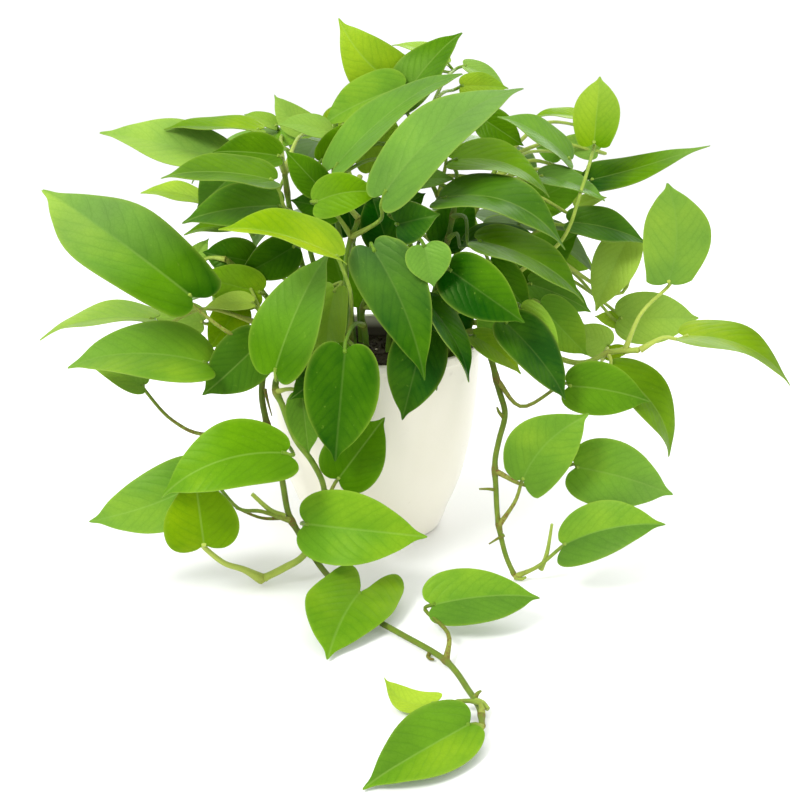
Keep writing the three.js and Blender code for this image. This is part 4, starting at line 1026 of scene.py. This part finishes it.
# A blade with the solid's length, width, fold and bow, its surface rounded, its margin a little wavy
def addBlade(parts, blade, look, rng):
    sizes = bladeSizes
    rows, columns = sizes.rows, sizes.columns
    u = sizes.firstRow + sizes.rowSpan * bunched(np.arange(rows + 1), rows)
    v = np.linspace(-1, 1, 2 * columns + 1)
    v = np.sign(v) * np.abs(v) ** sizes.columnBunching
    u, v = (n.ravel() for n in np.meshgrid(u, v, indexing="ij"))
    x, y, slide, sideways, hump, slope = bladePlaces(blade, u, v)
    length, width, normal = blade.length, blade.width, blade.normal
    # The tip is drawn out a little more than the solid's.
    drawn = 1 - sizes.dripTip * np.exp(-(((u - sizes.dripAt) / sizes.dripReach) ** 2))
    y, slide = y * drawn, slide * drawn
    share, margin, reach = x / length, np.abs(v), np.abs(y)
    soft = sizes.foldRound
    fold = slope * (np.sqrt(reach**2 + soft**2) - soft + sizes.foldEase * soft * margin)
    phases = [rng.uniform(0, math.tau) for _ in range(3)]
    swings = math.tau * rng.uniform(*sizes.waveTurns) * u
    waves = np.where(v > 0, np.sin(swings + phases[0]), np.sin(swings + phases[1]))
    dome = np.sin(math.pi * np.clip(u, 0, 1))
    wave = sizes.wave * length * waves * margin**2 * dome**0.7
    curl = -sizes.curl * width * margin**3 * dome
    turns = sizes.rippleTurns[0] * share - sizes.rippleTurns[1] * margin
    ripples = np.sin(math.tau * turns + phases[2]) * margin * (1 - margin**2)
    droop = sizes.tipDroop * length * np.clip((share - sizes.droopFrom) / sizes.droopReach, 0, 1) ** 2
    lift = hump + fold + wave + curl + sizes.ripple * length * ripples - droop
    middle = placeAt(blade, x + slide, y, sideways, lift)
    rib = sizes.midribDepth * np.exp(-((reach / sizes.midribWidth) ** 2))
    rib *= np.clip(sizes.midribFade[0] - share, sizes.midribFade[1], 1)
    half = normal * (sizes.thickness / 2)
    upper = middle + half - np.multiply.outer(rib * sizes.midribAbove, normal)
    lower = middle - half - np.multiply.outer(rib, normal)
    across, count = 2 * columns + 1, len(u)
    last = rows * across
    starts = [r * across + c for r in range(rows) for c in range(across - 1)]
    faces = [(a, a + across, a + across + 1, a + 1) for a in starts]
    rim = [*range(0, last, across), *range(last, last + across)]
    rim += [*range(last - 1, 0, -across), *range(across - 2, 0, -1)]
    walls = [(a + count, b + count, b, a) for a, b in zip(rim, rim[1:] + rim[:1])]
    under = [tuple(k + count for k in face[::-1]) for face in faces]
    along, sides, edge = (np.tile(n, 2) for n in (share, 2 * y / width, margin))
    tone, *others = look
    flag = np.repeat([0, 1], count)
    parts.add(np.vstack([upper, lower]), faces + under + walls, along, sides, edge, tone, flag, *others)


def addTube(parts, line, radii, sides, tone, joint):
    tones, joints = (np.repeat(np.broadcast_to(n, len(line)), sides) for n in (tone, joint))
    parts.add(*tube(line, radii, sides), tones, joints, np.tile(np.arange(sides), len(line)))


def addStalk(parts, points, reach, tone, brown, thicker):
    sizes = stalkSizes
    t = np.linspace(0, 1, max(int(reach / sizes.fineStep), 8) + 1)
    radii = sizes.radius + (sizes.tipRadius - sizes.radius) * np.clip(t * 2, 0, 1)
    radii *= 1 + thicker * (sizes.thickFrom - t)
    radii *= 1 + sizes.sheathSwell * np.exp(-((t / sizes.sheathReach) ** 2))
    radii *= 1 + sizes.kneeSwell * np.exp(-(((t - sizes.kneeAt) / sizes.kneeReach) ** 2))
    joint = brown * (1 - t) ** sizes.brownFade + sizes.startBrown * np.exp(-((t / sizes.startReach) ** 2))
    tone = tone + sizes.startPaler * np.exp(-((t / sizes.paleReach) ** 2))
    addTube(parts, splineAt(points, t), radii, sizes.sides, tone, joint)


def addStem(parts, stem, joints):
    sizes = stemSizes
    line = stemLineIn(stem, max(int(lineLength(stemPoints(stem)) / sizes.fineStep), 10))
    t = np.linspace(0, 1, len(line))
    near = np.zeros(len(line))
    end = np.clip((t - sizes.endFrom) / sizes.endReach, 0, 1)
    for joint in joints:
        gap = np.linalg.norm(line - joint, axis=1)
        near = np.maximum(near, np.exp(-((gap / sizes.jointReach) ** 2)))
    radii = (sizes.radius + (sizes.tipRadius - sizes.radius) * t) * (1 + sizes.jointSwell * near)
    radii *= 1 + stem.endSwell * end
    radii[-1] *= sizes.endTaper
    left = 1 - sizes.endGreener * end * (stem.endPaler > 0)
    brown = np.clip((near * sizes.jointBrown + stem.brown) * left, 0, 1)
    tone = stem.tone - sizes.rootDarker + sizes.tipPaler * t + stem.endPaler * end
    addTube(parts, line, radii, sizes.sides, tone, brown)


def addGrowth(parts, places, radii, brown):
    sizes = growthSizes
    line = splineAt([seen(p) for p in places], np.linspace(0, 1, sizes.points))
    line[:, 2] = np.maximum(line[:, 2], radii[0] + sizes.floorGap)
    tone = sizes.tone - sizes.brownDarker * brown
    addTube(parts, line, np.linspace(*radii, len(line)), sizes.sides, tone, brown)


def buildStem(stem, number):
    name, look = stem.name, stem.look
    surface = nodeSurface(name)
    steps = int(math.floor(lineLength(stemPoints(stem)) / stemSizes.step + 0.5))
    stemLine = stemLineIn(stem, steps)
    blades, stalks = MeshParts(*leafNumbers), MeshParts(*stalkNumbers)
    joints, misses = [], []
    for k, leaf in enumerate(stem.leaves):
        rng = random.Random(100 * number + k)
        miss, blade = settled(bladeTries(surface, leaf), bladeSizes.closeEnough)
        stalkMiss, points, reach = settled(stalkTries(surface, stemLine, blade), stalkSizes.closeEnough)
        tone, *rest = leaf.look or (rng.uniform(*fan.tones), *fan.finish)
        stray = rng.uniform(-bladeSizes.toneStray, bladeSizes.toneStray)
        addBlade(blades, blade, (tone + stray, *rest), rng)
        brown = stalkSizes.brown if k in stem.brownStalks else stem.brown
        # A stalk that goes on from the end of a stem takes its thickness and tone.
        thicker, paler = (stem.endSwell, stem.endPaler) if leaf.at == 1 else (0, 0)
        stalkTone = stem.tone + stalkSizes.paler + stalkSizes.leafToneShare * tone + paler
        addStalk(stalks, points, reach, stalkTone, brown, thicker)
        joints.append(points[0])
        misses.append(max(miss, stalkMiss - stalkSizes.insideBy))
    addStem(stalks, stem, joints)
    for growth in stem.growths:
        addGrowth(stalks, *growth)
    short = name.replace("stem_", "")
    pieces = [
        blades.object(f"{short}_blades", [leafMaterials[look]]),
        stalks.object(f"{short}_stalks", [stalkMaterial], sharpAngle=70),
    ]
    for piece in pieces:
        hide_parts(name)
        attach(piece, "root")
    return max(misses)


for number, stem in enumerate(stems):
    if "bearing" in stem:
        fillFarStem(stem)
    worst = buildStem(stem, number)
    print(f"stage: {stem.name} is built, {worst:.2f} mm from its solid at most")

# Floor, light and camera
stageLook = Record(
    floorSize=14.0, floor={"Base Color": colour(0.88, 0.88, 0.88), "Roughness": 0.6},
    sky={"Color": colour(1.0, 1.0, 1.0), "Strength": 1.15}, clip=(0.01, 60),
)
lamps = {
    "key": Record(place=(-0.8, -1.15, 1.35), aim=(0, -0.03, 0.2), size=0.6, watts=25),
    "top": Record(place=(0.15, 0.05, 1.5), aim=(0, 0, 0.2), size=1.0, watts=5),
    "fill": Record(place=(1.2, -0.9, 0.6), aim=(0, -0.05, 0.15), size=1.2, watts=3),
    "back": Record(place=(0.5, 1.2, 0.9), aim=(0, 0, 0.22), size=0.9, watts=6),
}


def buildFloor():
    half = stageLook.floorSize / 2
    mesh = bpy.data.meshes.new("floor")
    corners = [(-half, -half, 0), (half, -half, 0), (half, half, 0), (-half, half, 0)]
    mesh.from_pydata(corners, [], [(0, 1, 2, 3)])
    material, tree = newMaterial("pale_floor")
    closeMaterial(material, addNode(tree, "ShaderNodeBsdfPrincipled", stageLook.floor))
    mesh.materials.append(material)
    newObject("floor", mesh)


def buildLight():
    world = bpy.data.worlds.new("studio")
    world.use_nodes = True
    for name, value in stageLook.sky.items():
        world.node_tree.nodes["Background"].inputs[name].default_value = value
    bpy.context.scene.world = world
    for name, lamp in lamps.items():
        light = bpy.data.lights.new(name, "AREA")
        light.shape = "DISK"
        light.size = lamp.size
        light.energy = lamp.watts
        made = newObject(name, light)
        made.location = lamp.place
        sight = Vector(lamp.aim) - made.location
        made.rotation_euler = sight.to_track_quat("-Z", "Y").to_euler()


def buildCamera():
    camera = bpy.data.cameras.new("camera")
    camera.sensor_width = view.sensorWidth
    camera.lens = view.sensorWidth * view.focalPixels / view.framePixels
    camera.clip_start, camera.clip_end = stageLook.clip
    made = newObject("camera", camera)
    made.location = Vector(view.eye) * mm
    made.rotation_euler = (math.pi / 2 - view.pitch, 0, 0)
    bpy.context.scene.camera = made


buildFloor()
buildLight()
buildCamera()
bpy.context.scene.view_settings.view_transform = "Standard"
print("stage: floor, light and camera are ready")
